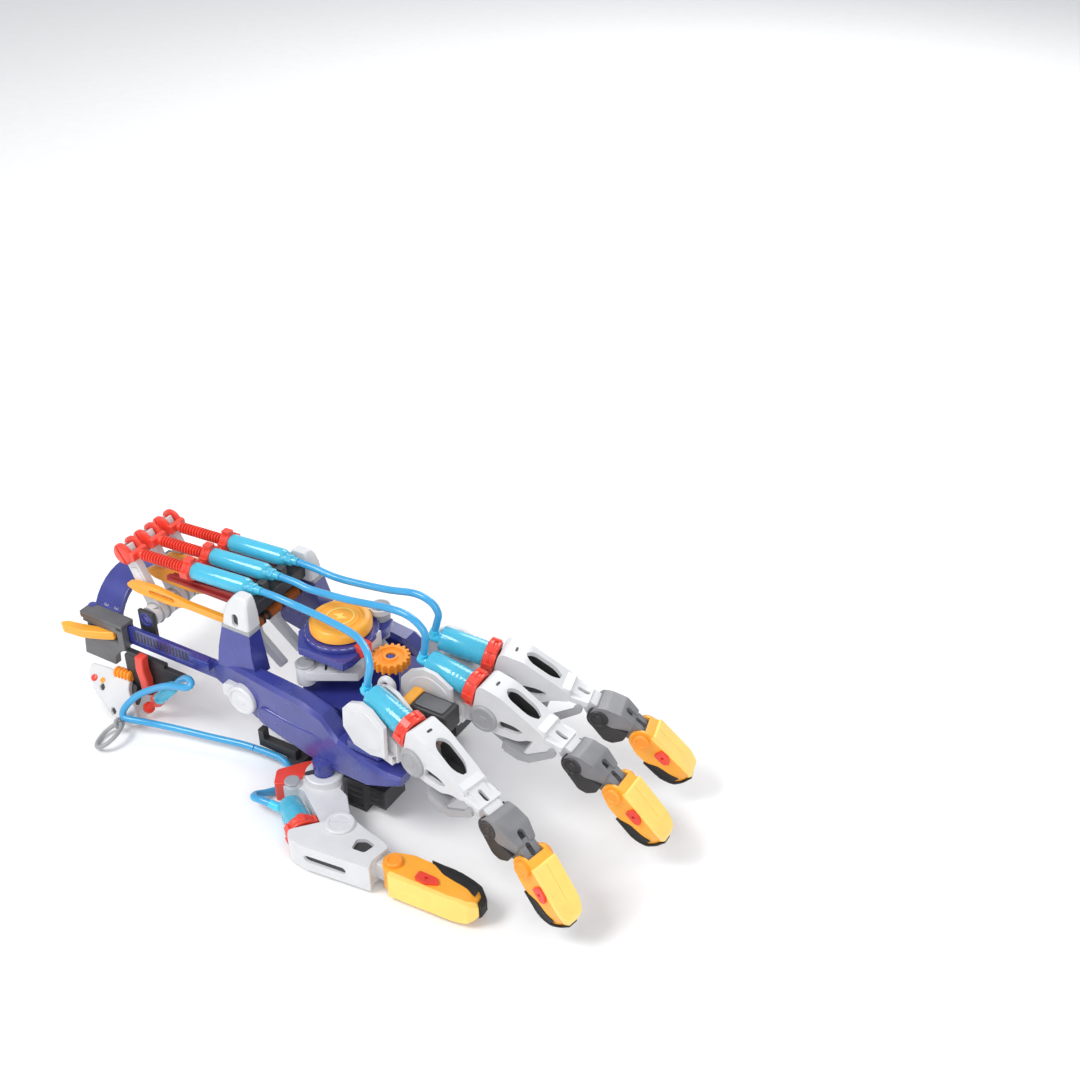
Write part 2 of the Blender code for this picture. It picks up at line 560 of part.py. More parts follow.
def output_finger(name, datum):
    hinge, splay, pitches = FINGERS[name]
    pivot = frame(f"splay_axis_{name}", datum, splay_pivot(name), (0, 0, splay))
    level = frame(f"knuckle_{name}_frame", pivot, (PIVOT_BACK, 0, 0))
    tilted = frame(f"cylinder_{name}_frame", level, (0, 0, 0), (0, pitches[0], 0))
    ears = {"front": (-1, 1), "middle": (-1, 1), "back": (1,)}[name]
    knuckle(f"knuckle_{name}", level, pitches[0], ears, 1 if name == "middle" else 0)
    cylinder(f"output_cylinder_{name}", tilted)
    output_rod(f"output_rod_{name}", frame(f"rod_axis_{name}", tilted), -35, PUSH_PIN[0])
    curl = frame(f"curl_axis_{name}", tilted)
    proximal(f"proximal_{name}", curl)
    link = frame(f"link_axis_{name}", tilted, (LINK_K[0], 0, LINK_K[1]))
    curl_link(f"curl_link_{name}", frame(f"link_frame_{name}", link, (-LINK_K[0], 0, -LINK_K[1])))
    second = frame(f"middle_axis_{name}", curl, (BONE_1, 0, 0), (0, pitches[1] - pitches[0], 0))
    middle_bone(f"middle_{name}", second)
    third = frame(f"tip_axis_{name}", second, (BONE_2, 0, 0), (0, pitches[2] - pitches[1], 0))
    tip_bone(f"tip_{name}", third, BONE_3, 10)


def thumb(datum):
    swivel = frame("thumb_swivel_axis", datum, THUMB_SWIVEL)
    sx, sy, _ = THUMB_SWIVEL
    hx, hy, _ = THUMB_HINGE

    def local(points):
        return [(x - sx, y - sy) for x, y in points]

    arm = plate(local([(166, -58), (170, -64.5), (177, -61), (183.2, -62.2), (199, -72.3), (206.5, -77.5),
                       *arc(hx, hy, 6.2, 215, 395, 8), (206, -53), (199, -50), (194.5, -40.5), (186, -37.5),
                       (178, -41)]), -5.5, 5.5, "xy")
    disc = rod((0, 0, 5), (0, 0, 9.6), 10.8, sides=20)
    pin = rod((-12.5, -13.5, 5), (-12.5, -13.5, 7.6), 4.4)
    red = plate(local([(161, -57), (166, -66), (171, -63), (182, -42), (176, -39)]), -5.4, 7, "xy")
    solid("thumb_bracket", swivel, "white", [arm, disc, pin, red],
          [rod((0, 0, -5), (0, 0, 12), 3.3, sides=12)])

    bone = frame("thumb_curl_axis", swivel, (hx - sx, hy - sy, 0), (90, 0, THUMB_TURN))
    barrel = frame("thumb_cylinder_frame", swivel, (hx - sx, hy - sy, 0), (90, 0, THUMB_TURN))
    x, z = THUMB_CYL_START
    axis = frame("thumb_cylinder_axis", barrel, (x, 0, z), (0, -THUMB_CYL_TURN, 0))
    solid("thumb_cylinder", axis, "teal",
          [rod((0, 0, 0), (21.5, 0, 0), CYL_R, sides=20), rod((20.5, 0, 0), (26.2, 0, 0), 8.6, sides=20),
           rod((2.5, 0, 4), (-5.5, 0, 9), 2.6, sides=12)],
          [rod((2, 0, 0), (28, 0, 0), 5.7, sides=20)])
    output_rod("thumb_rod", frame("thumb_rod_axis", axis), 5, THUMB_ROD_PIN, 0)

    side = [*arc(0, 0, 8.05, 160, 290, 7), (12, -6.5), (26, -6), (32.6, -5), (32.6, 8.5), (36, 13),
            (-3, 24.5), (-15, 25), (-18.8, 20.6)]
    hollow = [(-30, -14), (27.5, -14), (27.5, 9.5), (-3, 20.6), (-30, 24)]
    nose = [(26, -4.6), *arc(THUMB_BONE, 0, 4.4, -80, 80, 6), (30, 6)]
    cap = rod((0, 8.4, 0), (0, 10.2, 0), 8.4, sides=20)
    made = solid("thumb_proximal", bone, "white",
                 [plate(side, -HALF, HALF), plate(nose, -5.4, 5.4), cap],
                 [plate(hollow, -INNER, INNER), block((16, 26), (4, 12), (-2, 5))])
    lean = math.radians(THUMB_CYL_TURN)
    join(made, cross_pin((x + THUMB_ROD_PIN * math.cos(lean), z + THUMB_ROD_PIN * math.sin(lean))))
    tip = frame("thumb_tip_axis", bone, (THUMB_BONE, 0, 0), (0, THUMB_TIP_TURN, 0))
    tip_bone("thumb_tip", tip, 55.5, 10.6, knobs=(1,))


# ---------------------------------------------------------------- thumb control

def thumb_control(datum):
    slide = frame("slider_axis", datum)
    outline = [(0.5, 1), (32, 1), (32, -15.5), (27, -18.5), (22, -25), (21, -31.5), (-4, -31.5), (-2, -17)]
    solid("slider_block", slide, "grey",
          [plate(outline, -38.2, -33.8),
           block((0.5, 32), (-37, -28.6), (-1.2, 1)), block((0.5, 32), (-30.7, -28.6), (-4.6, -0.9)),
           block((0.5, 30), (-37, -29.4), (-17.6, -14.3))],
          [block((-6, 27), (-39, -33.5), (-12.2, -5.8))])
    lock = frame("lock_axis", slide, (21.5, -36.8, -9))
    lx, ly = 21.5, -36.8
    outline = [(23.6, -35.2), (19.5, -35.2), (4, -39.4), (-9, -42.2), (-12, -45.6), (-8, -47.8), (6, -46.2),
               (18, -41.4), (24, -38.2)]
    solid("slider_lock", lock, "yellow", [plate([(x - lx, y - ly) for x, y in outline], -2.9, 2.9, "xy")])

    ring = frame("key_ring_axis", slide, (42.5, -63, -50.8), (9.5, -25.2, 1.7))
    across, along, wire = 7.0, 10.0, 1.3
    loop = []
    for i in range(20):
        a = math.tau * i / 20
        out = Vector((along * math.cos(a), across * math.sin(a), 0)).normalized()
        middle = Vector((across * math.cos(a), along * (math.sin(a) - 1), 0))
        loop.append([middle + wire * (out * math.cos(b) + Vector((0, 0, math.sin(b))))
                     for b in (math.tau * j / 6 for j in range(6))])
    solid("key_ring", ring, "light_grey", [closed_loop(loop)])

    grip = frame("grip_frame", slide, (5, -40, -34), (-137.7, 0, 0))

    def moved(mesh, source):
        mesh.transform(grip.matrix_basis.inverted() @ source)
        return mesh

    face = [(-3, 1.5), (-1, 9), (9, 17), (30, 26.8), (44, 26.8), (48, 23), (39, 15), (31, 8), (29, 0.8),
            (8, 0.3)]
    body = [(2, 3), (6, 10), (22, 15), (36, 15), (34, 4), (24, 2.5)]
    web = plate([(31, -17.9), (79, -17.9), (51, -43), (40, -47), (27, -46), (31, -34)], -39.2, -35.4)
    lug = [rod((-1.1, 0, 0), (1.1, 0, 0), 3.6), block((-1.1, 1.1), (0, 7.2), (-2.2, 2.2))]
    eye = rod((-3, 0, 0), (3, 0, 0), 2, sides=12)
    solid("grip", grip, "white",
          [plate(face, 0, 4, "xy"), plate(body, 3.5, 10.5, "xy"), moved(web, Matrix()),
           *[moved(mesh, ring.matrix_basis) for mesh in lug],
           rod((17, 0.5, 1.2), (30, -0.6, 1.2), 3.4), rod((6, 10, -1), (6, 10, 1), 2.2)],
          [moved(eye, ring.matrix_basis)])

    pull = frame("trigger_axis", slide, (49, -42.6, -13))
    outline = [(46.5, -10.4), (52.5, -10.6), (51.8, -20), (53.6, -28), (52, -38), (47.5, -40.5), (47, -30),
               (45.4, -20)]
    solid("trigger", pull, "red", [plate([(x - 49, z + 13) for x, z in outline], -2.9, 2.9)])

    tilt = math.degrees(math.atan2(21.5, 20))
    axis = frame("thumb_input_axis", slide, (47.6, -43.4, -51.2), (0, -tilt, 0))
    solid("thumb_input_barrel", axis, "teal",
          [rod((15.5, 0, 0), (38, 0, 0), 3.9), rod((13, 0, 0), (17, 0, 0), 4.1),
           rod((37.5, 0, 0), (42, 0, 0), 2.1)],
          [rod((12, 0, 0), (36, 0, 0), 2.9)])
    solid("thumb_input_piston", frame("thumb_piston_axis", axis), "red",
          [rod((0, 0, 0), (2.4, 0, 0), 3.6), rod((2, 0, 0), (20, 0, 0), 1.9, sides=12),
           rod((19, 0, 0), (22, 0, 0), 2.6, sides=12)])


def closed_loop(rings):
    """A torus-like skin through rings that close on themselves."""
    bm = bmesh.new()
    rows = [[bm.verts.new(p) for p in ring] for ring in rings]
    count = len(rows[0])
    for i, row in enumerate(rows):
        after = rows[(i + 1) % len(rows)]
        for j in range(count):
            k = (j + 1) % count
            bm.faces.new((row[j], row[k], after[k], after[j]))
    return mesh_of(bm, "loop")


# ---------------------------------------------------------------- build

hand = frame("hand_datum", None, (-FOOT_X, 0, -FLOOR))
side_frame("left_frame", -1, hand)
side_frame("right_frame", 1, hand)
rear_arch(hand)
lever_shaft(hand)
syringe_bridge(hand)
palm(hand)
palm_foot(hand)
for lane, finger in zip((-1, 0, 1), FINGERS):
    input_lane(lane, finger, hand)
    output_finger(finger, hand)
thumb(hand)
thumb_control(hand)
hose("hose_front", hand, FRONT_HOSE)
hose("hose_middle", hand, MIDDLE_HOSE)
hose("hose_back", hand, BACK_HOSE)
hose("thumb_hose_rear", hand, THUMB_HOSE_REAR)
hose("thumb_hose_front", hand, THUMB_HOSE_FRONT)
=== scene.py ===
import json
import math

import bmesh
import bpy
import numpy as np
from mathutils import Matrix, Quaternion, Vector


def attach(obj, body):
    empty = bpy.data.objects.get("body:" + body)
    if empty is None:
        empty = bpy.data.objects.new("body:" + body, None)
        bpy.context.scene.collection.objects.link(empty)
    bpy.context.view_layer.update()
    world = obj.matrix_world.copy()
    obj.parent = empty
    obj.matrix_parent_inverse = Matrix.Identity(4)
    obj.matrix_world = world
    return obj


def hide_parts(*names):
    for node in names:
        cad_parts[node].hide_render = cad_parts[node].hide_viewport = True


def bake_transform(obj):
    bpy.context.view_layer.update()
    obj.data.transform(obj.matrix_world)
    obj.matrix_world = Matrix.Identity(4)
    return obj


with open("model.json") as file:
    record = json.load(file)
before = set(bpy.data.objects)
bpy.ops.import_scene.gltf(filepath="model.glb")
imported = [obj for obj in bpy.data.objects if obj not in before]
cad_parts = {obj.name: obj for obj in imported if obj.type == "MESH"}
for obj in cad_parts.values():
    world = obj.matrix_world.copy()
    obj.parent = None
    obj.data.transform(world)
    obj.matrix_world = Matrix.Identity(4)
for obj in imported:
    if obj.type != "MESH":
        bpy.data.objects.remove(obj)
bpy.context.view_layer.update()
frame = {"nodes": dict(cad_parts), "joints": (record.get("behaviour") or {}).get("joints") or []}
scene = bpy.context.scene
joints = {joint["name"]: joint for joint in frame["joints"]}
MM = 0.001
FINGERS = ("front", "middle", "back")
LANES = {"front": -16.6, "middle": 0.0, "back": 16.6}
SIDES = (-1, 1)


# ---------------------------------------------------------------- placing

def placing(origin, x, y):
    """A matrix that takes millimetres in a local frame to metres in the row frame."""
    x, y = Vector(x).normalized(), Vector(y).normalized()
    z = x.cross(y)
    turn = Matrix((x, y, z)).transposed().to_4x4()
    return Matrix.Translation(Vector(origin)) @ turn @ Matrix.Scale(MM, 4)


def inside(place, at, turn=(0, 0, 0)):
    """A frame within another: at in mm, turn in degrees about its own X, Y and Z."""
    x, y, z = (math.radians(v) for v in turn)
    spin = Matrix.Rotation(z, 4, "Z") @ Matrix.Rotation(y, 4, "Y") @ Matrix.Rotation(x, 4, "X")
    return place @ Matrix.Translation(at) @ spin


def turned(axis, vector, degrees):
    return Quaternion(Vector(axis), math.radians(degrees)) @ Vector(vector)


DATUM = placing((-0.186, 0, 0.057), (1, 0, 0), (0, 1, 0))  # rear end of the slide's top, on the middle plane


def finger_frames(finger):
    """Frames of one finger: level at the knuckle, then along each of its bones."""
    curl, second, tip = (joints[f"{kind}_{finger}"] for kind in ("curl", "second_bend", "tip_set"))
    y = Vector(curl["axis"])
    along = Vector(joints[f"rod_slide_{finger}"]["axis"])
    bone = Vector(tip["pos_m"]) - Vector(second["pos_m"])
    last = turned(y, bone, TIP_TURN[finger])
    return {
        "level": placing(curl["pos_m"], y.cross(Vector((0, 0, 1))), y),
        "first": placing(curl["pos_m"], along, y),
        "second": placing(second["pos_m"], bone, y),
        "third": placing(tip["pos_m"], last, y),
    }


TIP_TURN = {"front": 22.9, "middle": 22.0, "back": 20.6}  # from the second bone to the fingertip, in degrees


# ---------------------------------------------------------------- materials

def node(tree, kind, **inputs):
    made = tree.nodes.new(kind)
    for name, value in inputs.items():
        made.inputs[name.replace("_", " ")].default_value = value
    return made


def grain(tree, at, scale, detail=3.0):
    noise = node(tree, "ShaderNodeTexNoise", Scale=scale, Detail=detail)
    tree.links.new(at.outputs["Object"], noise.inputs["Vector"])
    return noise


def plastic(name, colour, rough=0.34, spread=0.09, vary=0.12, coat=0.0, bump=0.06, wear=0.09, transmit=0.0):
    """Moulded plastic: faint mottling of its colour, uneven gloss, mould texture, and edges rubbed paler."""
    made = bpy.data.materials.new(name)
    made.use_nodes = True
    tree = made.node_tree
    shader = tree.nodes["Principled BSDF"]
    shader.inputs["Coat Weight"].default_value = coat
    shader.inputs["Coat Roughness"].default_value = 0.18
    shader.inputs["Transmission Weight"].default_value = transmit
    shader.inputs["IOR"].default_value = 1.46
    at = tree.nodes.new("ShaderNodeTexCoord")

    mottle = grain(tree, at, 70)
    ramp = tree.nodes.new("ShaderNodeValToRGB")
    ramp.color_ramp.elements[0].position = 0.3
    ramp.color_ramp.elements[1].position = 0.7
    low = [max(0.0, c * (1 - vary)) for c in colour]
    high = [min(1.0, c * (1 + vary) + 0.004) for c in colour]
    ramp.color_ramp.elements[0].color = (*low, 1)
    ramp.color_ramp.elements[1].color = (*high, 1)
    tree.links.new(mottle.outputs["Fac"], ramp.inputs["Fac"])

    worn = tree.nodes.new("ShaderNodeNewGeometry")
    edge = node(tree, "ShaderNodeMapRange")
    edge.inputs["From Min"].default_value = 0.53
    edge.inputs["From Max"].default_value = 0.62
    edge.inputs["To Max"].default_value = wear
    tree.links.new(worn.outputs["Pointiness"], edge.inputs["Value"])
    rub = tree.nodes.new("ShaderNodeMix")
    rub.data_type = "RGBA"
    pale = [min(1.0, c * 1.25 + 0.1) for c in colour]
    rub.inputs["B"].default_value = (*pale, 1)
    tree.links.new(edge.outputs["Result"], rub.inputs["Factor"])
    tree.links.new(ramp.outputs["Color"], rub.inputs["A"])
    tree.links.new(rub.outputs["Result"], shader.inputs["Base Color"])

    smear = grain(tree, at, 45, 5)
    gloss = node(tree, "ShaderNodeMapRange")
    gloss.inputs["To Min"].default_value = rough - spread
    gloss.inputs["To Max"].default_value = rough + spread
    tree.links.new(smear.outputs["Fac"], gloss.inputs["Value"])
    tree.links.new(gloss.outputs["Result"], shader.inputs["Roughness"])

    if bump:
        pits = grain(tree, at, 1500, 2)
        relief = node(tree, "ShaderNodeBump", Strength=bump, Distance=0.0002)
        tree.links.new(pits.outputs["Fac"], relief.inputs["Height"])
        tree.links.new(relief.outputs["Normal"], shader.inputs["Normal"])
    return made


BLUE = plastic("moulded_blue_plastic", (0.036, 0.044, 0.26), 0.26, coat=0.6, wear=0.0)
WHITE = plastic("moulded_white_plastic", (0.66, 0.665, 0.68), 0.34, vary=0.04, coat=0.2)
PALE = plastic("moulded_pale_grey_plastic", (0.34, 0.345, 0.36), 0.36, vary=0.05)
RED = plastic("moulded_red_plastic", (0.78, 0.055, 0.03), 0.3, coat=0.2)
DEEP_RED = plastic("moulded_deep_red_plastic", (0.3, 0.018, 0.016), 0.4)
YELLOW = plastic("moulded_yellow_plastic", (0.93, 0.4, 0.035), 0.34, coat=0.15, vary=0.05)
PALE_YELLOW = plastic("moulded_pale_yellow_plastic", (0.96, 0.66, 0.16), 0.38, vary=0.04)
ORANGE = plastic("moulded_orange_plastic", (0.93, 0.31, 0.02), 0.36, coat=0.1, vary=0.06)
RUST = plastic("moulded_rust_plastic", (0.42, 0.11, 0.02), 0.45)
DARK = plastic("moulded_dark_plastic", (0.028, 0.027, 0.029), 0.42, bump=0.12)
GREY = plastic("moulded_grey_plastic", (0.1, 0.1, 0.106), 0.36, coat=0.15)
STEEL = plastic("moulded_steel_grey_plastic", (0.2, 0.2, 0.212), 0.32, coat=0.15)
RUBBER = plastic("black_rubber", (0.012, 0.012, 0.013), 0.62, bump=0.25)
TEAL = plastic("clear_teal_plastic", (0.1, 0.7, 0.98), 0.1, spread=0.04, vary=0.04, coat=0.5, bump=0.0, transmit=0.42)
CORE = plastic("teal_core_plastic", (0.05, 0.56, 0.82), 0.25, coat=0.3)
HOSE = plastic("hose_blue_plastic", (0.04, 0.34, 0.64), 0.22, spread=0.06, vary=0.05, coat=0.45, bump=0.03)


# ---------------------------------------------------------------- shapes, in millimetres

def mesh_of(bm):
    bmesh.ops.recalc_face_normals(bm, faces=bm.faces)
    mesh = bpy.data.meshes.new("shape")
    bm.to_mesh(mesh)
    bm.free()
    return mesh


def block(x, y, z):
    x, y, z = sorted(x), sorted(y), sorted(z)
    bm = bmesh.new()
    bmesh.ops.create_cube(bm, size=1)
    bmesh.ops.scale(bm, verts=bm.verts, vec=(x[1] - x[0], y[1] - y[0], z[1] - z[0]))
    bmesh.ops.translate(bm, verts=bm.verts, vec=((x[0] + x[1]) / 2, (y[0] + y[1]) / 2, (z[0] + z[1]) / 2))
    return mesh_of(bm)


def loft(sections, closed=False):
    """A skin through sections that each have the same number of points."""
    bm = bmesh.new()
    rings = [[bm.verts.new(p) for p in section] for section in sections]
    count = len(rings[0])
    pairs = list(zip(rings, rings[1:])) + ([(rings[-1], rings[0])] if closed else [])
    for ring, after in pairs:
        for i in range(count):
            j = (i + 1) % count
            bm.faces.new((ring[i], ring[j], after[j], after[i]))
    if not closed:
        bm.faces.new(rings[0])
        bm.faces.new(rings[-1])
    return mesh_of(bm)


def plate(outline, low, high, lie="xz"):
    """An outline in the XZ, XY or YZ plane, between low and high along the third axis."""
    low, high = sorted((low, high))

    def at(a, b, c):
        return {"xz": (a, c, b), "xy": (a, b, c), "yz": (c, a, b)}[lie]

    return loft([[at(a, b, c) for a, b in outline] for c in (low, high)])


def turn_profile(start, end, profile, sides=40, closed=False):
    """A turned shape about the line from start to end: the profile's points are (along, radius)."""
    start = Vector(start)
    axis = (Vector(end) - start).normalized()
    across = axis.orthogonal().normalized()
    up = axis.cross(across)
    rings = []
    for along, radius in profile:
        rings.append([start + axis * along + radius * (across * math.cos(a) + up * math.sin(a))
                      for a in (math.tau * i / sides for i in range(sides))])
    return loft(rings, closed)


def rod(start, end, r, chamfer=0.4, sides=32):
    """A round bar with softened ends."""
    length = (Vector(end) - Vector(start)).length
    c = min(chamfer, length / 3, r / 2)
    steps = [(0, r - c), (c * 0.3, r - c * 0.3), (c, r), (length - c, r), (length - c * 0.3, r - c * 0.3),
             (length, r - c)]
    return turn_profile(start, end, steps, sides)


def tube(start, end, outer, inner, chamfer=0.3, sides=40):
    """A thick-walled ring or tube."""
    length = (Vector(end) - Vector(start)).length
    c = min(chamfer, (outer - inner) / 3, length / 3)
    ring = [(0, inner + c), (0, outer - c), (c, outer), (length - c, outer), (length, outer - c),
            (length, inner + c), (length - c, inner), (c, inner)]
    return turn_profile(start, end, ring, sides, closed=True)


def ribbed(start, end, low, high, pitch, sides=28):
    """A round bar with a rib at each pitch, as on a moulded plunger."""
    length = (Vector(end) - Vector(start)).length
    count = max(1, round(length / pitch))
    step = length / count
    profile = [(0, low)]
    for i in range(count):
        profile += [((i + 0.25) * step, low), ((i + 0.38) * step, high), ((i + 0.72) * step, high),
                    ((i + 0.85) * step, low)]
    return turn_profile(start, end, profile + [(length, low)], sides)


def arc(x, z, r, start, end, steps=12):
    angles = [math.radians(start + (end - start) * i / steps) for i in range(steps + 1)]
    return [(x + r * math.cos(a), z + r * math.sin(a)) for a in angles]


def slotted(x, z, length, width, turn=0.0):
    """The outline of a slot with round ends."""
    half = length / 2 - width / 2
    ends = arc(half, 0, width / 2, -90, 90, 8) + arc(-half, 0, width / 2, 90, 270, 8)
    c, s = math.cos(math.radians(turn)), math.sin(math.radians(turn))
    return [(x + a * c - b * s, z + a * s + b * c) for a, b in ends]


def rounded(outline, radius, steps=4):
    """The outline with each corner replaced by a short curve."""
    made = []
    for i, corner in enumerate(outline):
        here = Vector(corner)
        before, after = Vector(outline[i - 1]), Vector(outline[(i + 1) % len(outline)])
        cut = min(radius, (before - here).length * 0.45, (after - here).length * 0.45)
        a = here + (before - here).normalized() * cut
        b = here + (after - here).normalized() * cut
        for k in range(steps + 1):
            t = k / steps
            made.append(tuple((1 - t)**2 * a + 2 * t * (1 - t) * here + t * t * b))
    return made


def shifted(mesh, at, turn=(0, 0, 0)):
    x, y, z = (math.radians(v) for v in turn)
    spin = Matrix.Rotation(z, 4, "Z") @ Matrix.Rotation(y, 4, "Y") @ Matrix.Rotation(x, 4, "X")
    mesh.transform(Matrix.Translation(at) @ spin)
    return mesh


def joined(meshes):
    bm = bmesh.new()
    for mesh in meshes:
        bm.from_mesh(mesh)
        bpy.data.meshes.remove(mesh)
    made = bpy.data.meshes.new("shape")
    bm.to_mesh(made)
    bm.free()
    return made


def carved(meshes, cuts, within=()):
    """The meshes united, with the cuts taken out, and kept within each of the last ones."""
    holder = bpy.data.objects.new("carving", meshes[0])
    scene.collection.objects.link(holder)
    tools = []
    for kind, group in (("UNION", meshes[1:]), ("DIFFERENCE", cuts), ("INTERSECT", within)):
        for mesh in group:
            cutter = bpy.data.objects.new("cutter", mesh)
            scene.collection.objects.link(cutter)
            tools.append(cutter)
            step = holder.modifiers.new(kind, "BOOLEAN")
            step.operation = kind
            step.solver = "EXACT"
            step.object = cutter
    ready = holder.evaluated_get(bpy.context.evaluated_depsgraph_get())
    made = bpy.data.meshes.new_from_object(ready)
    for extra in (*tools, holder):
        bpy.data.objects.remove(extra)
    return made


def soften(piece, width, segments=2, angle=32):
    bevel = piece.modifiers.new("Rounded edges", "BEVEL")
    bevel.width = width * MM
    bevel.segments = segments
    bevel.limit_method = "ANGLE"
    bevel.angle_limit = math.radians(angle)
    bevel.use_clamp_overlap = True
    bevel.harden_normals = False
    even = piece.modifiers.new("Even shading", "WEIGHTED_NORMAL")
    even.keep_sharp = True


def piece(name, body, place, material, shapes, cuts=(), bevel=0.35, instead=(), within=()):
    """One visible piece on a CAD body: shapes in the frame's millimetres."""
    mesh = carved(shapes, cuts, within) if cuts or within else joined(shapes)
    mesh.transform(place)
    mesh.name = name
    mesh.materials.clear()
    mesh.materials.append(material)
    mesh.shade_smooth()
    mesh.set_sharp_from_angle(angle=math.radians(38))
    made = bpy.data.objects.new(name, mesh)
    scene.collection.objects.link(made)
    if bevel:
        soften(made, bevel)
    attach(made, body)
    if instead:
        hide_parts(*instead)
    return made


def keep(name, material, bevel=0.5):
    """A CAD node that is shown as it is, with rounded edges and a finished material."""
    made = frame["nodes"][name]
    made.data.materials.clear()
    made.data.materials.append(material)
    made.data.shade_smooth()
    weld = made.modifiers.new("Weld", "WELD")
    weld.merge_threshold = 0.00001
    flat = made.modifiers.new("Flat faces", "DECIMATE")
    flat.decimate_type = "DISSOLVE"
    flat.angle_limit = math.radians(1.5)
    soften(made, bevel, 3, 30)


# ---------------------------------------------------------------- camera, light and floor

AZIMUTH, ELEVATION, ROLL = (math.radians(v) for v in (31.73, 34.08, -1.16))
DISTANCE = 1.18577
AIM = Vector((-0.05982, 0.28511, -0.03792))
SENSOR, FOCAL_SHARE = 36.0, 1.47207  # film width in mm, and focal length as a share of it


def camera():
    back = Vector((math.sin(AZIMUTH) * math.cos(ELEVATION), -math.cos(AZIMUTH) * math.cos(ELEVATION),
                   math.sin(ELEVATION)))
    level = Vector((math.cos(AZIMUTH), math.sin(AZIMUTH), 0))
    right = math.cos(ROLL) * level + math.sin(ROLL) * back.cross(level)
    made = bpy.data.objects.new("camera", bpy.data.cameras.new("camera"))
    made.data.sensor_width = SENSOR
    made.data.lens = SENSOR * FOCAL_SHARE
    made.data.clip_start = 0.02
    made.matrix_world = (Matrix.Translation(AIM + back * DISTANCE)
                         @ Matrix((right, back.cross(right), back)).transposed().to_4x4())
    scene.collection.objects.link(made)
    scene.camera = made


def lamp(name, at, aim, size, watts, colour=(1, 1, 1)):
    data = bpy.data.lights.new(name, "AREA")
    data.shape = "DISK"
    data.size = size
    data.energy = watts
    data.color = colour
    made = bpy.data.objects.new(name, data)
    made.location = at
    made.rotation_euler = (Vector(aim) - Vector(at)).to_track_quat("-Z", "Y").to_euler()
    scene.collection.objects.link(made)


def studio():
    scene.view_settings.view_transform = "Standard"
    world = bpy.data.worlds.new("studio")
    world.use_nodes = True
    sky = world.node_tree.nodes["Background"]
    sky.inputs["Color"].default_value = (0.95, 0.97, 1.0, 1)
    sky.inputs["Strength"].default_value = 0.6
    scene.world = world
    lamp("key", (-0.55, -0.75, 1.25), (0, 0, 0.05), 0.7, 13)
    lamp("fill", (0.9, -0.7, 0.7), (0, 0, 0.03), 1.0, 6)
    lamp("rim", (-0.2, 1.2, 0.9), (0, 0, 0.05), 0.9, 9)
    paper = plastic("floor_paper", (0.93, 0.93, 0.93), 0.75, vary=0.01, bump=0.0)
    bm = bmesh.new()
    bmesh.ops.create_grid(bm, x_segments=1, y_segments=1, size=4)
    mesh = mesh_of(bm)
    mesh.materials.append(paper)
    floor = bpy.data.objects.new("floor", mesh)
    floor.location.z = -0.0003
    scene.collection.objects.link(floor)


camera()
studio()


# ---------------------------------------------------------------- hoses

HOSE_D = 4.2
ROUTES = {
    "front": [(128.9, -16.6, 48.45), (140, -16.8, 48.6), (154, -17, 47.8), (176, -20, 49), (200, -26, 51.5),
              (213, -33, 51.5), (220, -39.5, 47.5), (219.4, -40.9, 40.9), (218.05, -40.6, 35.1)],
    "middle": [(128.9, 0, 48.45), (140, 0, 48.2), (151, 0, 47.2), (176, 0, 49.5), (204, -0.6, 54.5),
               (219, -1, 54.5), (228.2, -1.2, 48), (228.3, -1.2, 39), (227.3, -1.2, 33.3)],
    "back": [(128.9, 16.6, 48.45), (140, 16.6, 48.2), (158, 16.8, 47), (188, 18.5, 49.5), (209, 18.5, 54),
             (220, 18.3, 52), (224.4, 18.2, 46), (223.4, 18, 40.4), (222.05, 17.65, 35)],
    "thumb_rear": [(76.5, -43.4, -20.1), (81, -43.6, -15.4), (88, -45, -10.6), (93.2, -47.6, -10.4),
                   (91.5, -50, -12.4), (84, -50.6, -14.2), (76, -50.5, -17), (64, -50.8, -24), (53, -53.2, -31.5),
                   (46.5, -56.5, -38.3), (43.5, -59.2, -43.8), (44.6, -60.4, -46.8), (49, -59.8, -47.2),
                   (58, -56.5, -48), (72, -51.5, -49.5), (98, -45.5, -50.2), (118, -41, -50.5), (127.2, -39.6, -50.6)],
    "thumb_front": [(128, -39.5, -50.6), (138, -38.9, -50.6), (147, -38.9, -50.8), (154.5, -41.5, -52.4),
                    (159, -48, -54.4), (158.8, -56, -54.8), (155.4, -63.5, -53.6), (153.6, -70, -50.5),
                    (156.4, -74.6, -47.6), (162.3, -75.2, -46.5), (168.3, -74.8, -46.5)],
}


def smooth_route(points, step):
    """Points about step apart on a Catmull-Rom curve through the given ones."""
    given = [Vector(p) for p in points]
    given = [2 * given[0] - given[1]] + given + [2 * given[-1] - given[-2]]
    route = []
    for a, b, c, d in zip(given, given[1:], given[2:], given[3:]):
        count = max(1, round((c - b).length / step))
        for i in range(count):
            t = i / count
            route.append(0.5 * (2 * b + (c - a) * t + (2 * a - 5 * b + 4 * c - d) * t**2
                                + (3 * b - a - 3 * c + d) * t**3))
    return route + [given[-2]]


def swept(route, radius, sides=16):
    """A tube along the route whose sections don't twist."""
    across = (route[1] - route[0]).orthogonal().normalized()
    rings = []
    for i, point in enumerate(route):
        way = (route[min(i + 1, len(route) - 1)] - route[max(i - 1, 0)]).normalized()
        across = (across - way * across.dot(way)).normalized()
        up = way.cross(across)
        rings.append([point + radius * (across * math.cos(a) + up * math.sin(a))
                      for a in (math.tau * k / sides for k in range(sides))])
    return loft(rings)


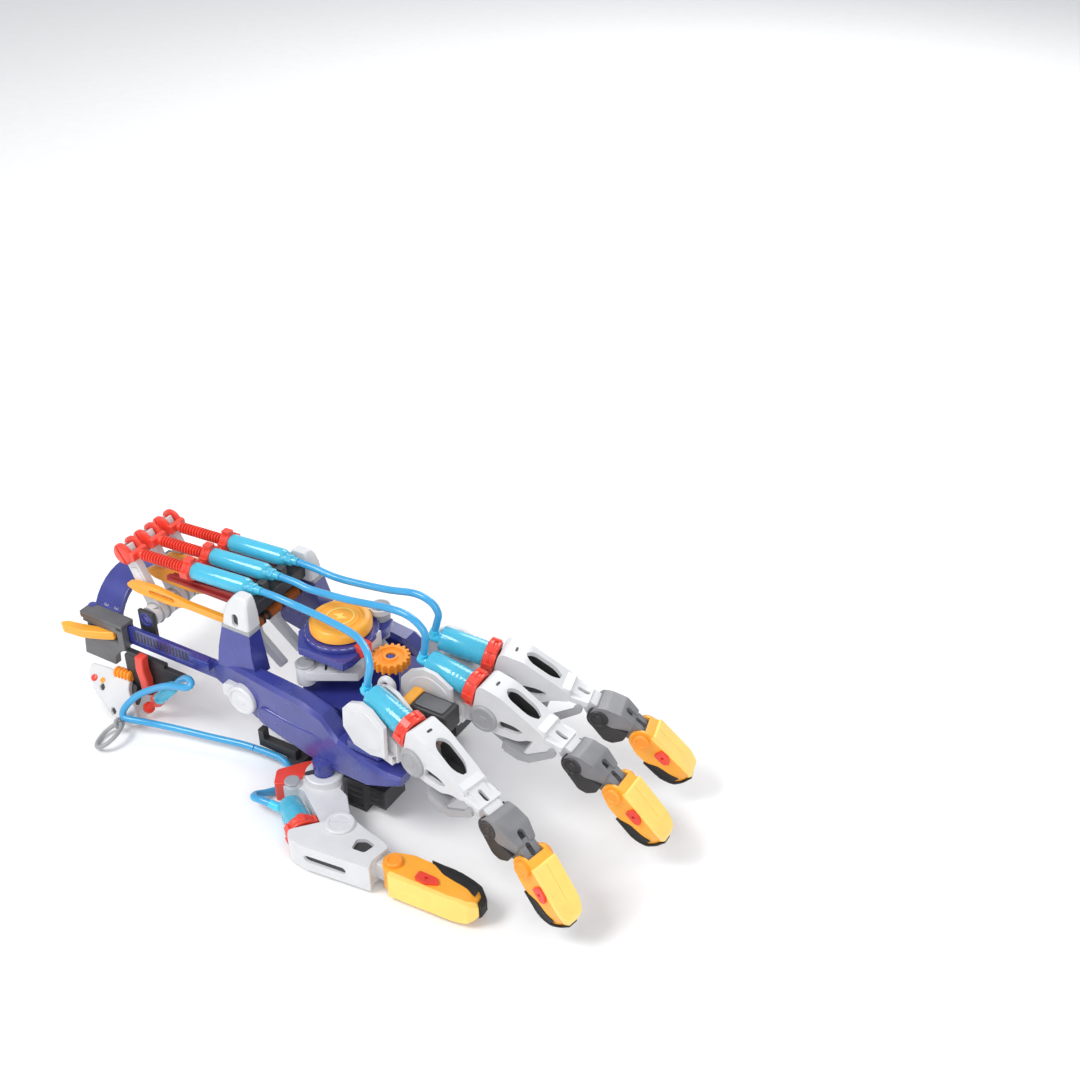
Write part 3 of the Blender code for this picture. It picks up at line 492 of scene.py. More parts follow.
def hose(name, node_name, route):
    """A free hose between the frame and the body that its far end rides on."""
    line = [DATUM @ p for p in smooth_route(route, 1.6)]
    mesh = swept(line, HOSE_D / 2 * MM)
    mesh.name = name
    mesh.materials.append(HOSE)
    mesh.shade_smooth()
    mesh.set_sharp_from_angle(angle=math.radians(50))
    made = bpy.data.objects.new(name, mesh)
    scene.collection.objects.link(made)
    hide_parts(node_name)
    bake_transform(made)


hose("blue_hose_front", "hose_front", ROUTES["front"])
hose("blue_hose_middle", "hose_middle", ROUTES["middle"])
hose("blue_hose_back", "hose_back", ROUTES["back"])
hose("blue_hose_thumb_rear", "thumb_hose_rear", ROUTES["thumb_rear"])
hose("blue_hose_thumb_front", "thumb_hose_front", ROUTES["thumb_front"])


# ---------------------------------------------------------------- side frames and arch

def screw(at, way, r=2.6, depth=0.8):
    """A round screw head with a cross recess, seated at a point and facing along way."""
    at, way = Vector(at), Vector(way).normalized()
    head = turn_profile(at - way * 0.6, at + way, [(0, r), (0.6 + depth * 0.5, r), (0.6 + depth * 0.85, r * 0.8),
                                                   (0.6 + depth, r * 0.5)], 24)
    side = way.orthogonal().normalized()
    other = way.cross(side)
    cuts = []
    for a, b in ((side, other), (other, side)):
        bar = block((-r * 0.62, r * 0.62), (-r * 0.13, r * 0.13), (-0.5, 0.5))
        bar.transform(Matrix.Translation(at + way * (depth + 0.1)) @ Matrix((a, b, a.cross(b))).transposed().to_4x4())
        cuts.append(bar)
    return carved([head], cuts)


def frames():
    for name in ("left_frame", "right_frame"):
        keep(name, BLUE, 1.1)
    keep("rear_arch", BLUE, 0.9)
    for side, label in ((-1, "left"), (1, "right")):
        # Dark slots between the rack's teeth: painted shade in the gaps.
        gaps = [plate(slotted(x, -6.5, 6.6, 1.3, 90), side * 33.2, side * 33.6) for x in np.arange(37.5, 80, 2.5)]
        piece(f"rack_gaps_{label}", "frame", DATUM, DARK, gaps, bevel=0)
        ridges = [block((x, x + 0.9), (side * 31.3, side * 33.2), (-1.7, -1.28)) for x in np.arange(36, 82, 2.1)]
        piece(f"rail_ridges_{label}", "frame", DATUM, BLUE, ridges, bevel=0)
        rail = [block((36, 82), (side * 33.3, side * 33.7), (-11.8, -10.6)),
                plate([(83.5, -1), (98, -1.5), (98, -7), (92, -7), (90, -4), (83.5, -4)], side * 33, side * 37)]
        piece(f"rail_stop_{label}", "frame", DATUM, BLUE, rail, bevel=0.5)
        groove = rounded([(136, -22), (160, -28.5), (188, -29.5), (214, -26), (232, -17), (214, -13), (190, -12),
                          (160, -12), (140, -10)], 6)
        band = [(x, side * (41.6 + 0.055 * (x - 136)), z) for x, z in groove]
        inner = [(x, side * (abs(y) + 2.1), z) for x, y, z in band]
        piece(f"side_panel_{label}", "frame", DATUM, BLUE, [loft([band, inner])], bevel=1.2)

        bolt = turn_profile((127, side * 36, -12), (127, side * 45, -12),
                            [(0, 9.4), (7.6, 9.4), (8.5, 8.7), (8.6, 7.6), (8.0, 7.1), (8.0, 2.8), (8.4, 2.5),
                             (8.4, 0.8)], 44)
        lug = plate(rounded([(112, -14.4), (124, -16), (124, -4), (112, -6)], 3), side * 36.5, side * 42.2)
        piece(f"pivot_bolt_{label}", "frame", DATUM, WHITE, [bolt, lug], bevel=0.5)
        band = [[(x0, side * y, z), (x1, side * y, z), (x1, side * 24.6, z), (x0, side * 24.6, z)]
                for x0, x1, y, z in ((111.0, 131.6, 34.6, 29), (111.2, 131.4, 34.4, 31.3))]
        piece(f"tower_band_{label}", "frame", DATUM, PALE, [loft(band)], bevel=0.4)
        rows = ((111.5, 131, 34.2, 31.5), (112.8, 130.6, 33.4, 40), (115.2, 129.6, 32, 46), (117.5, 128.6, 30.2, 49),
                (119, 127.6, 28.6, 50))
        cap = loft([[(a, b, z) for a, b in rounded([(x0, side * y), (x1, side * y), (x1, side * 22.9), (x0, side * 22.9)], 2.4, 3)]
                    for x0, x1, y, z in rows])
        hole = plate(slotted(121.5, 36.6, 8, 4.4, 90), side * 30, side * 36)
        piece(f"tower_cap_{label}", "frame", DATUM, WHITE, [cap], [hole], bevel=0.3)
        back = plate(slotted(121.5, 36.6, 7.8, 4.2, 90), side * 31.6, side * 32.2)
        piece(f"tower_cap_shadow_{label}", "frame", DATUM, DARK, [back], bevel=0)
        heads = [screw((8, side * 24.2, 1.2), (0, side * 0.75, 0.66)), screw((16, side * 24.2, 1.2), (0, side * 0.75, 0.66))]
        piece(f"arch_screws_{label}", "frame", DATUM, PALE, heads, bevel=0)
    ends = [rod((1, side * 30, -2), (1, side * 30, 1.8), 2.6) for side in SIDES]
    piece("arch_studs", "frame", DATUM, BLUE, ends, bevel=0)
    keep("lever_shaft", DARK, 0.6)
    for side, label in ((-1, "left"), (1, "right")):
        piece(f"shaft_cap_{label}", "frame", DATUM, BLUE,
              [tube((43, side * 24.4, 4), (43, side * 28.3, 4), 4.8, 3.2), rod((43, side * 25, 4), (43, side * 28.2, 4), 2.6)],
              bevel=0)


def bridge():
    beam = [block((116, 127), (-26, 26), (34, 41.6))]
    beam += [plate(rounded([(118, 40), (125, 40), (124.4, 48), (119, 48)], 1.2), y - 2.4, y + 2.4) for y in (-8.3, 8.3)]
    piece("syringe_beam", "frame", DATUM, DARK, beam, bevel=0.6, instead=("syringe_bridge",))
    for finger, y in LANES.items():
        tray = plate(rounded([(56, 31.8), (117, 31.8), (117, 41.6), (82, 38.2), (56, 35)], 1.2), y - 1.5, y + 1.5)
        lips = [plate(rounded([(58, 33.6), (114, 34.6), (114, 36.6), (58, 35)], 0.6), y + s * 1.4, y + s * 3.6)
                for s in SIDES]
        piece(f"barrel_tray_{finger}", "frame", DATUM, DEEP_RED, [tray, *lips], bevel=0.35)
        saddle = [block((112, 116.6), (y - 5.2, y + 5.2), (38.6, 42.6))]
        piece(f"barrel_saddle_{finger}", "frame", DATUM, DARK, saddle, bevel=0.5)


# ---------------------------------------------------------------- input side

def input_lane(finger):
    y = LANES[finger]
    slide = joints[f"piston_slide_{finger}"]
    knob = DATUM @ Vector((27, y, 42.2))
    along = placing(knob, slide["axis"], (0, 1, 0))

    def on(a, b, r, chamfer=0.3):
        return rod((a, 0, 0), (b, 0, 0), r, chamfer)

    wall = turn_profile((0, 0, 0), (1, 0, 0), [(50, 4.1), (50, 5.25), (90.6, 5.25), (92.6, 4.4), (93.4, 3.3), (96, 2.6),
                                             (101.7, 2.35), (101.7, 1.2), (91, 1.2), (90.6, 4.1)], 40, closed=True)
    piece(f"syringe_barrel_{finger}", f"frame", along, TEAL, [wall], bevel=0, instead=(f"input_barrel_{finger}",))
    piece(f"syringe_fluid_{finger}", "frame", along, CORE, [on(80.5, 90.2, 3.95)], bevel=0)
    collar = turn_profile((0, 0, 0), (1, 0, 0), [(46, 4.2), (46, 5.6), (46.7, 6.3), (48.2, 6.3), (48.5, 5.5), (50.1, 5.5),
                                               (50.4, 6.3), (51.9, 6.3), (52.5, 5.6), (52.5, 4.2)], 40, closed=True)
    clip = [block((46.4, 52.2), (-2.2, 2.2), (5.2, 7.9)), block((46.4, 52.2), (4.6, 7.4), (-2, 2)),
            block((46.4, 52.2), (-7.4, -4.6), (-2, 2))]
    piece(f"syringe_collar_{finger}", "frame", along, RED, [collar, *clip], bevel=0.35)
    piece(f"syringe_nut_{finger}", "frame", along, TEAL, [turn_profile((93.6, 0, 0), (94, 0, 0), [(0, 2.9), (0.4, 3.6), (3.6, 3.6),
                                                                                     (4, 2.9)], 6)], bevel=0.3)

    body = f"piston_{finger}"
    neck = on(8, 12, 2.6)
    ribs = ribbed((11.5, 0, 0), (54.4, 0, 0), 2.2, 3.45, 2.15)
    head = [on(54.4, 56, 3.9), on(56.4, 57.6, 3.9), on(54, 57.2, 3.2)]
    piece(f"plunger_{finger}", body, along, RED, [neck, ribs, *head], bevel=0, instead=(f"input_piston_{finger}",))
    fork = [plate(rounded([(6.4, -3.2), (9.4, -2.6), (9.4, 2.6), (6.4, 3.2)], 0.8), -5.9, 5.9)]
    fork += [plate(rounded([(-2, -2.8), (7, -2.8), (7, 2.8), (-2, 2.8)], 1), s * 3.2, s * 5.9) for s in SIDES]
    piece(f"plunger_fork_{finger}", body, along, RED, fork, bevel=0.4)
    for s, label in ((-1, "near"), (1, "far")):
        disc = turn_profile((0, s * 3.1, 0), (0, s * 7, 0), [(0, 6.0), (0.5, 6.9), (2.3, 6.9), (3.0, 6.2), (3.4, 4.6),
                                                            (3.5, 1.0)], 40)
        cut = shifted(block((-7.4, 7.4), (-0.9, 0.9), (-0.75, 0.75)), (0, s * 6.6, 0), (0, 62, 0))
        piece(f"knob_{label}_{finger}", body, along, RED, [disc], [cut], bevel=0.25)

    keep(f"lever_{finger}", WHITE, 0.8)
    lever = joints[f"lever_swing_{finger}"]
    up = (Vector(knob) - Vector(lever["pos_m"])).normalized()
    arm = placing(lever["pos_m"], Vector((0, 1, 0)).cross(up), (0, 1, 0))
    body = f"lever_{finger}"
    hub = [tube((0, s * 7.4, 0), (0, s * 8.0, 0), 6.2, 3.1) for s in SIDES]
    collars = [tube((0, s * 2.2, 0), (0, s * 3.6, 0), 7.0, 6.2) for s in SIDES]
    piece(f"lever_hub_rings_{finger}", body, arm, PALE, [*hub, *collars], bevel=0)
    ribs = [plate(rounded([(-3.1, 10), (3.1, 10), (2.6, 31), (-2.6, 31)], 1.4), s * 2.3, s * 3.0) for s in SIDES]
    piece(f"lever_panel_{finger}", body, arm, WHITE, ribs, bevel=0.4)

    bar_joint = joints[f"pull_bar_level_{finger}"]
    body = f"pull_bar_{finger}"
    outline = rounded([(26.5, 20.2), (33, 17.6), (42, 17.4), (62, 17.5), (72, 19.8), (111, 19.9), (111, 23.9),
                       (72, 24.1), (50, 26.5), (34, 24.8), (27.5, 23)], 2.2)
    piece(f"finger_bar_{finger}", body, DATUM, YELLOW, [plate(outline, y - 6.3, y - 2.9)],
          [plate(slotted(54, 21.6, 20, 3.4, 1), y - 7, y - 2)], bevel=0.7, instead=(body,))
    loop = turn_profile((107, y, 22), (115, y, 22), [(0, 5.9), (0, 7.1), (0.8, 7.8), (7.2, 7.8), (8, 7.1), (8, 5.9),
                                                    (7.5, 5.6), (0.5, 5.6)], 44, closed=True)
    cheeks = [plate(rounded([(112, 18.8), (122.6, 19.4), (122.6, 24.6), (112, 25.2)], 1.8), y + s * 5, y + s * 6.9)
              for s in SIDES]
    piece(f"finger_ring_{finger}", body, DATUM, DARK, [loop, *cheeks], bevel=0.4)
    piece(f"ring_roller_{finger}", body, DATUM, RUST, [ribbed((120, y - 4.8, 22), (120, y + 4.8, 22), 2.5, 3.0, 1.6),
                                                      rod((120, y - 7.2, 22), (120, y + 7.2, 22), 1.6)], bevel=0)
    if finger != "front":
        leg = rounded([(108, 16.8), (115.4, 16.8), (115.6, 9), (132.6, -6.6), (128.6, -10.8), (108.6, 6)], 2)
        piece(f"swing_leg_{finger}", body, DATUM, WHITE, [plate(leg, y - 10.4, y - 6.2),
                                                         block((109, 114.5), (y - 9.2, y - 3), (13.7, 16.5))], bevel=0.5)
        piece(f"leg_pin_{finger}", body, DATUM, DARK, [rod((112, y - 10, 14.6), (112, y - 6, 14.6), 1.9),
                                                       rod((127.6, y - 9.9, -6.2), (127.6, y - 6.8, -6.2), 1.7)], bevel=0)


# ---------------------------------------------------------------- palm

def palm():
    keep("palm_deck", BLUE, 0.9)
    keep("palm_bridge", WHITE, 0.8)
    keep("palm_foot", DARK, 0.9)
    body = "palm_disc"
    top = joints["palm_disc_turn"]["pos_m"]
    at = placing(top, (1, 0, 0), (0, 1, 0))
    dial = turn_profile((0, 0, 0), (0, 0, 1), [(0, 16.6), (0.8, 17.9), (4.6, 17.9), (6.4, 16.9), (7.2, 15.6), (7.2, 13.2),
                                               (6.5, 12.6), (6.5, 11.2), (7.1, 10.7), (7.1, 2.2), (7.0, 0.6)], 64)
    piece("dial", body, at, YELLOW, [dial], bevel=0, instead=("palm_disc",))
    emblem = [tube((0, 0, 6.9), (0, 0, 7.7), 8.2, 7.2), plate(rounded([(-4.6, -0.6), (0.6, 3.2), (0.4, 0.8), (4.6, 0.6), (-0.6, -3.2),
                                                                       (-0.4, -0.8)], 0.5, 2), 6.9, 7.6, "xy")]
    piece("dial_emblem", body, at, PALE_YELLOW, emblem, bevel=0.15)

    body = "spread_gear"
    at = placing(joints["spread_gear_turn"]["pos_m"], (1, 0, 0), (0, 1, 0))
    teeth = 18
    outline = []
    for i in range(teeth):
        for share, r in ((-0.3, 9.6), (-0.17, 11.2), (0.17, 11.2), (0.3, 9.6)):
            a = math.tau * (i + share) / teeth
            outline.append((r * math.cos(a), r * math.sin(a)))
    piece("toothed_wheel", body, at, ORANGE, [plate(outline, 0, 5.6, "xy")],
          [rod((0, 0, -1), (0, 0, 7), 2.8), tube((0, 0, 4.4), (0, 0, 6.4), 7.6, 4.4)], bevel=0.3, instead=("spread_gear",))

    for side, label in ((-1, "left"), (1, "right")):
        cap = turn_profile((161, side * 24.3, 15), (161, side * 24.3, 19), [(0, 5.7), (0.9, 5.7), (1.5, 5.1), (1.6, 3.9),
                                                                         (1.2, 3.6), (1.2, 0.8)], 36)
        piece(f"arm_cap_{label}", "frame", DATUM, PALE, [cap], bevel=0)
        # Dark slots on the deck's arms: painted shade in the slots.
        slots = [plate(slotted(172, side * 19.5, 5.4, 1.3, side * 58), 13.2, 13.7, "xy"),
                 plate(slotted(176, side * 15, 1.8, 1.6), 13.2, 13.7, "xy")]
        piece(f"arm_slots_{label}", "frame", DATUM, DARK, slots, bevel=0)
        strut = [rod((157, side * 14, 4), (166, side * 3, 20), 4.6, 0.8)]
        piece(f"deck_strut_{label}", "frame", DATUM, BLUE, strut, bevel=0)
        nub = [rod((159.5, side * 13, 1.5), (157.5, side * 14.5, -2.5), 5.0, 0.8)]
        piece(f"strut_foot_{label}", "frame", DATUM, WHITE, nub, bevel=0)
    skirt = turn_profile((169.6, 0, 19.6), (169.6, 0, 30), [(0, 15), (0.6, 17.5), (5.2, 19.4), (5.6, 19.2), (5.6, 3.6)], 56)
    rim = turn_profile((169.6, 0, 24.8), (169.6, 0, 28.4), [(0, 20.4), (0.6, 21.4), (2.6, 21.4), (3.5, 20.6), (3.5, 3.6),
                                                           (0, 3.6)], 64, closed=True)
    piece("dial_skirt", "frame", DATUM, BLUE, [skirt, rim], bevel=0)
    piece("dial_wedge", "frame", DATUM, RED, [plate(rounded([(186.2, -11), (192.2, -11.5), (193, -3), (186.2, -2)], 1), 22,
                                                    28.6, "xy")], bevel=0.5)

    post = turn_profile((181, 22, 12), (181, 22, 36), [(0, 4.2), (12, 3.8), (13, 5.6), (18, 5.6), (19, 5.0), (19.4, 2.6),
                                                     (17.5, 2.2), (17.5, 0.6)], 32)
    piece("eyelet_post", "frame", DATUM, PALE, [post], bevel=0)
    piece("eyelet_ring", "frame", DATUM, WHITE, [tube((181, 22, 29.6), (181, 22, 33.4), 6.4, 5.4)], bevel=0)
    hook = smooth_route([(205, -15.5, -2.5), (206, -15.5, 8), (207.5, -15.5, 15), (211, -15.5, 18), (214.5, -15.5, 16),
                         (215, -15.5, 11)], 1.2)
    piece("pull_hook", "frame", DATUM, WHITE, [swept(hook, 2.0, 14)], bevel=0)
    ball = turn_profile((215, -15.5, 5), (215, -15.5, 12), [(0.1, 0.6), (0.7, 1.8), (2, 2.5), (3.4, 2.6), (4.8, 2.3), (5.8, 1.6),
                                                       (6.2, 0.6)], 28)
    piece("hook_ball", "frame", DATUM, PALE, [ball], bevel=0)

    lens = [block((230.6, 259.4), (-29.4, -15.6), (7.6, 20.4))]
    piece("lamp_box", "frame", DATUM, DARK, lens, bevel=1.0)
    band = [block((230.2, 236.6), (-29.8, -15.2), (7, 21.6))]
    piece("lamp_band", "frame", DATUM, YELLOW, band, bevel=0.9)
    window = [plate(rounded([(238, -27.4), (256.5, -27.4), (256.5, -17.6), (238, -17.6)], 1.4), 20.2, 21.2, "xy")]
    piece("lamp_window", "frame", DATUM, GREY, window, bevel=0.3)
    for side, label in ((-1, "left"), (1, "right")):
        pads = []
        for x0, x1, low in ((199.2, 212.3, -56.9), (214, 226.3, -49.3)):
            pads += [block((x0 + 2, x1 - 2), (side * 44.6, side * 45.5), (low + 3 + 4.2 * k, low + 5.6 + 4.2 * k))
                     for k in range(3 if x0 > 210 else 4)]
        piece(f"foot_ribs_{label}", "frame", DATUM, RUBBER, pads, bevel=0.3)


# ---------------------------------------------------------------- fingers

def output_cylinder(name, body, at, rear, collar, z, node_name, stub):
    """A clear cylinder with a ribbed core and a red collar, along X at height z."""
    wall = turn_profile((0, 0, z), (1, 0, z), [(rear, 5.8), (rear, 6.6), (rear + 0.8, 7.2), (collar + 0.6, 7.2),
                                              (collar + 0.6, 5.8)], 44, closed=True)
    piece(f"clear_cylinder_{name}", body, at, TEAL, [wall], bevel=0, instead=(node_name,))
    rings = [tube((x, 0, z), (x + 1.3, 0, z), 7.3, 6.9, 0.1) for x in np.arange(collar - 12, collar - 2.5, 2.5)]
    piece(f"cylinder_ribs_{name}", body, at, TEAL, rings, bevel=0)
    piece(f"cylinder_base_{name}", body, at, CORE, [turn_profile((rear, 0, z), (rear + 1, 0, z), [(0.2, 6.0), (2.2, 6.0),
                                                                                            (2.2, 0.6)], 36),
                                                   *stub], bevel=0)
    ring = turn_profile((0, 0, z), (1, 0, z), [(collar - 1.6, 7.3), (collar - 1.2, 8.8), (collar, 9.5), (collar + 1.9, 9.5),
                                              (collar + 2.3, 8.9), (collar + 3.6, 8.9), (collar + 4.0, 9.5), (collar + 5.6, 9.5),
                                              (collar + 6, 9.0), (collar + 6, 5.9), (collar - 1.6, 5.9)], 48, closed=True)
    grips = []
    for angle in (30, 90, 150, 210, 270, 330):
        lug = block((collar - 0.6, collar + 5.2), (-1.9, 1.9), (8.9, 10.3))
        grips.append(shifted(lug, (0, 0, z), (angle, 0, 0)))
    return piece(f"cylinder_collar_{name}", body, at, RED, [ring, *grips], bevel=0.35)


def push_rod(name, body, at, rear, pin, z, node_name):
    stem = ribbed((rear + 4, 0, z), (pin - 5, 0, z), 2.0, 2.5, 2.0)
    head = [rod((rear, 0, z), (rear + 1.7, 0, z), 5.2), rod((rear + 2.3, 0, z), (rear + 4, 0, z), 5.2),
            rod((rear + 1, 0, z), (rear + 3, 0, z), 4.4)]
    piece(f"rod_{name}", body, at, GREY, [stem, *head], bevel=0, instead=(node_name,))
    outline = [(pin - 5.2, z - 2.4), (pin - 3, z - 4.6), (pin + 3.2, z - 4.6), (pin + 3.2, z + 3.4), (pin - 5.2, z + 3.4)]
    fork = [block((pin - 5.2, pin - 2.4), (-5.3, 5.3), (z - 2.4, z + 3.4))]
    fork += [plate(outline, s * 3.2, s * 5.3) for s in SIDES]
    piece(f"rod_fork_{name}", body, at, RUST, fork, [block((pin - 1.9, pin + 1.9), (-6, 6), (z - 6, z + 1.9))], bevel=0.3)


def fingertip(name, body, at, length, height, node_name, knobs):
    """The tip: an orange body with a pale top, a rubber sole, a red clip and a knob on its joint."""
    k, h = length / 38.1, height / 10

    def plan(half, end):
        nose = [(end - 13 + 13 * math.sin(a), half * math.cos(a)) for a in (math.pi * i / 16 for i in range(17))]
        return plate([(-12, half), *nose, (-12, -half)], -14, 14, "xy")

    side = (arc(0, 0, 6.6, 175, 250, 6) + [(5 * k, -8.2 * h), (24 * k, -7 * h), (33 * k, -4.6 * h), (36.8 * k, -0.8 * h),
                                          (36.6 * k, 4.4 * h), (33 * k, 8 * h), (26 * k, 8.8 * h), (2, 8.8 * h), (-4.4, 5.6)])
    piece(f"fingertip_{name}", body, at, YELLOW, [plate(rounded(side, 1.6, 3), -7.4, 7.4)],
          [block((-12, 6.2), (-5.8, 5.8), (-12, 6.2))], bevel=0.9, instead=(node_name,), within=[plan(7.4, 37.2 * k)])
    cover = [(1.2, 6.6 * h), (26 * k, 7.6 * h), (32.5 * k, 6.6 * h), (35.4 * k, 3.6 * h), (37.2 * k, 4.8 * h), (34 * k, 9 * h),
             (26.5 * k, 10 * h), (1.6, 10 * h)]
    line = [block((3, 24 * k), (-0.2, 0.2), (9.7 * h, 11 * h))]
    piece(f"fingertip_top_{name}", body, at, PALE_YELLOW, [plate(rounded(cover, 1.0, 3), -7.7, 7.7)], line, bevel=0.6,
          within=[plan(7.7, 37.6 * k)])
    sole = ([(13 * k, -7.2 * h), (24 * k, -6.4 * h), (32.6 * k, -4.2 * h), (36 * k, -0.6 * h), (36.2 * k, 4.2 * h),
             (38 * k, 4.4 * h), (38 * k, -1.2 * h), (34.4 * k, -5.2 * h), (25 * k, -8 * h), (12 * k, -8.8 * h)])
    piece(f"fingertip_sole_{name}", body, at, RUBBER, [plate(rounded(sole, 0.8, 3), -8.1, 8.1)], bevel=0.5,
          within=[plan(8.1, 38.6 * k)])
    wedge = [(12, -8.6), (19, -3.4), (24, -2), (30, -0.6), (36, 3), (38, 2), (36, -3), (30, -6.4), (22, -8.6)]
    pads = [plate(rounded([(x * k, z * h) for x, z in wedge], 1.6, 4), s * 6.6, s * 7.9) for s in SIDES]
    piece(f"fingertip_pads_{name}", body, at, RUBBER, pads, bevel=0.3, within=[plan(7.9, 38.2 * k)])
    grip = [(11 * k, 0.6), (19 * k, 1.2), (20.5 * k, 4.4), (16 * k, 7.2), (11 * k, 6.4)]
    clips = [plate(rounded(grip, 1.2, 3), s * 6.9, s * 9.0) for s in SIDES]
    holes = [rod((15 * k, s * 7.6, 3.6), (15 * k, s * 10, 3.6), 0.9, 0.1, 16) for s in SIDES]
    piece(f"fingertip_clip_{name}", body, at, RED, clips, holes, bevel=0.45)
    caps = [turn_profile((0, s * 7.2, 0.8), (0, s * 11, 0.8), [(0, 4.9), (2.2, 4.9), (2.8, 4.3), (2.8, 3.0), (2.4, 2.7), (2.4, 0.6)], 32)
            for s in knobs]
    piece(f"fingertip_knob_{name}", body, at, ORANGE, caps, bevel=0)


def bone_shell(name, body, at, side, nose, hollow, window, holes, pin, painted_shade_outline, floor, nose_cuts=()):
    """A first bone: a hollow white shell with a long window and a narrow nose, with dark plates inside it as painted
    shade in its hollow.
    """
    shell = [plate(rounded(side, 2.4, 4), -8.5, 8.5)]
    cuts = [plate(hollow, -5.9, 5.9), window, rod((0, -9, 0), (0, 9, 0), 3.3), *holes]
    piece(f"bone_{name}", body, at, WHITE, shell, cuts, bevel=1.0, instead=(body,))
    piece(f"bone_nose_{name}", body, at, WHITE, nose, nose_cuts, bevel=0.6)
    x, z = pin
    piece(f"bone_pin_{name}", body, at, DARK, [rod((x, -6.4, z), (x, 6.4, z), 1.5)], bevel=0)
    # Dark side walls and floor inside the hollow: painted shade, seen through the window and holes.
    walls = [plate(painted_shade_outline, s * 5.5, s * 5.95) for s in SIDES]
    piece(f"bone_painted_shade_{name}", body, at, DARK, [*walls, plate(floor, -5.6, 5.6)], bevel=0)


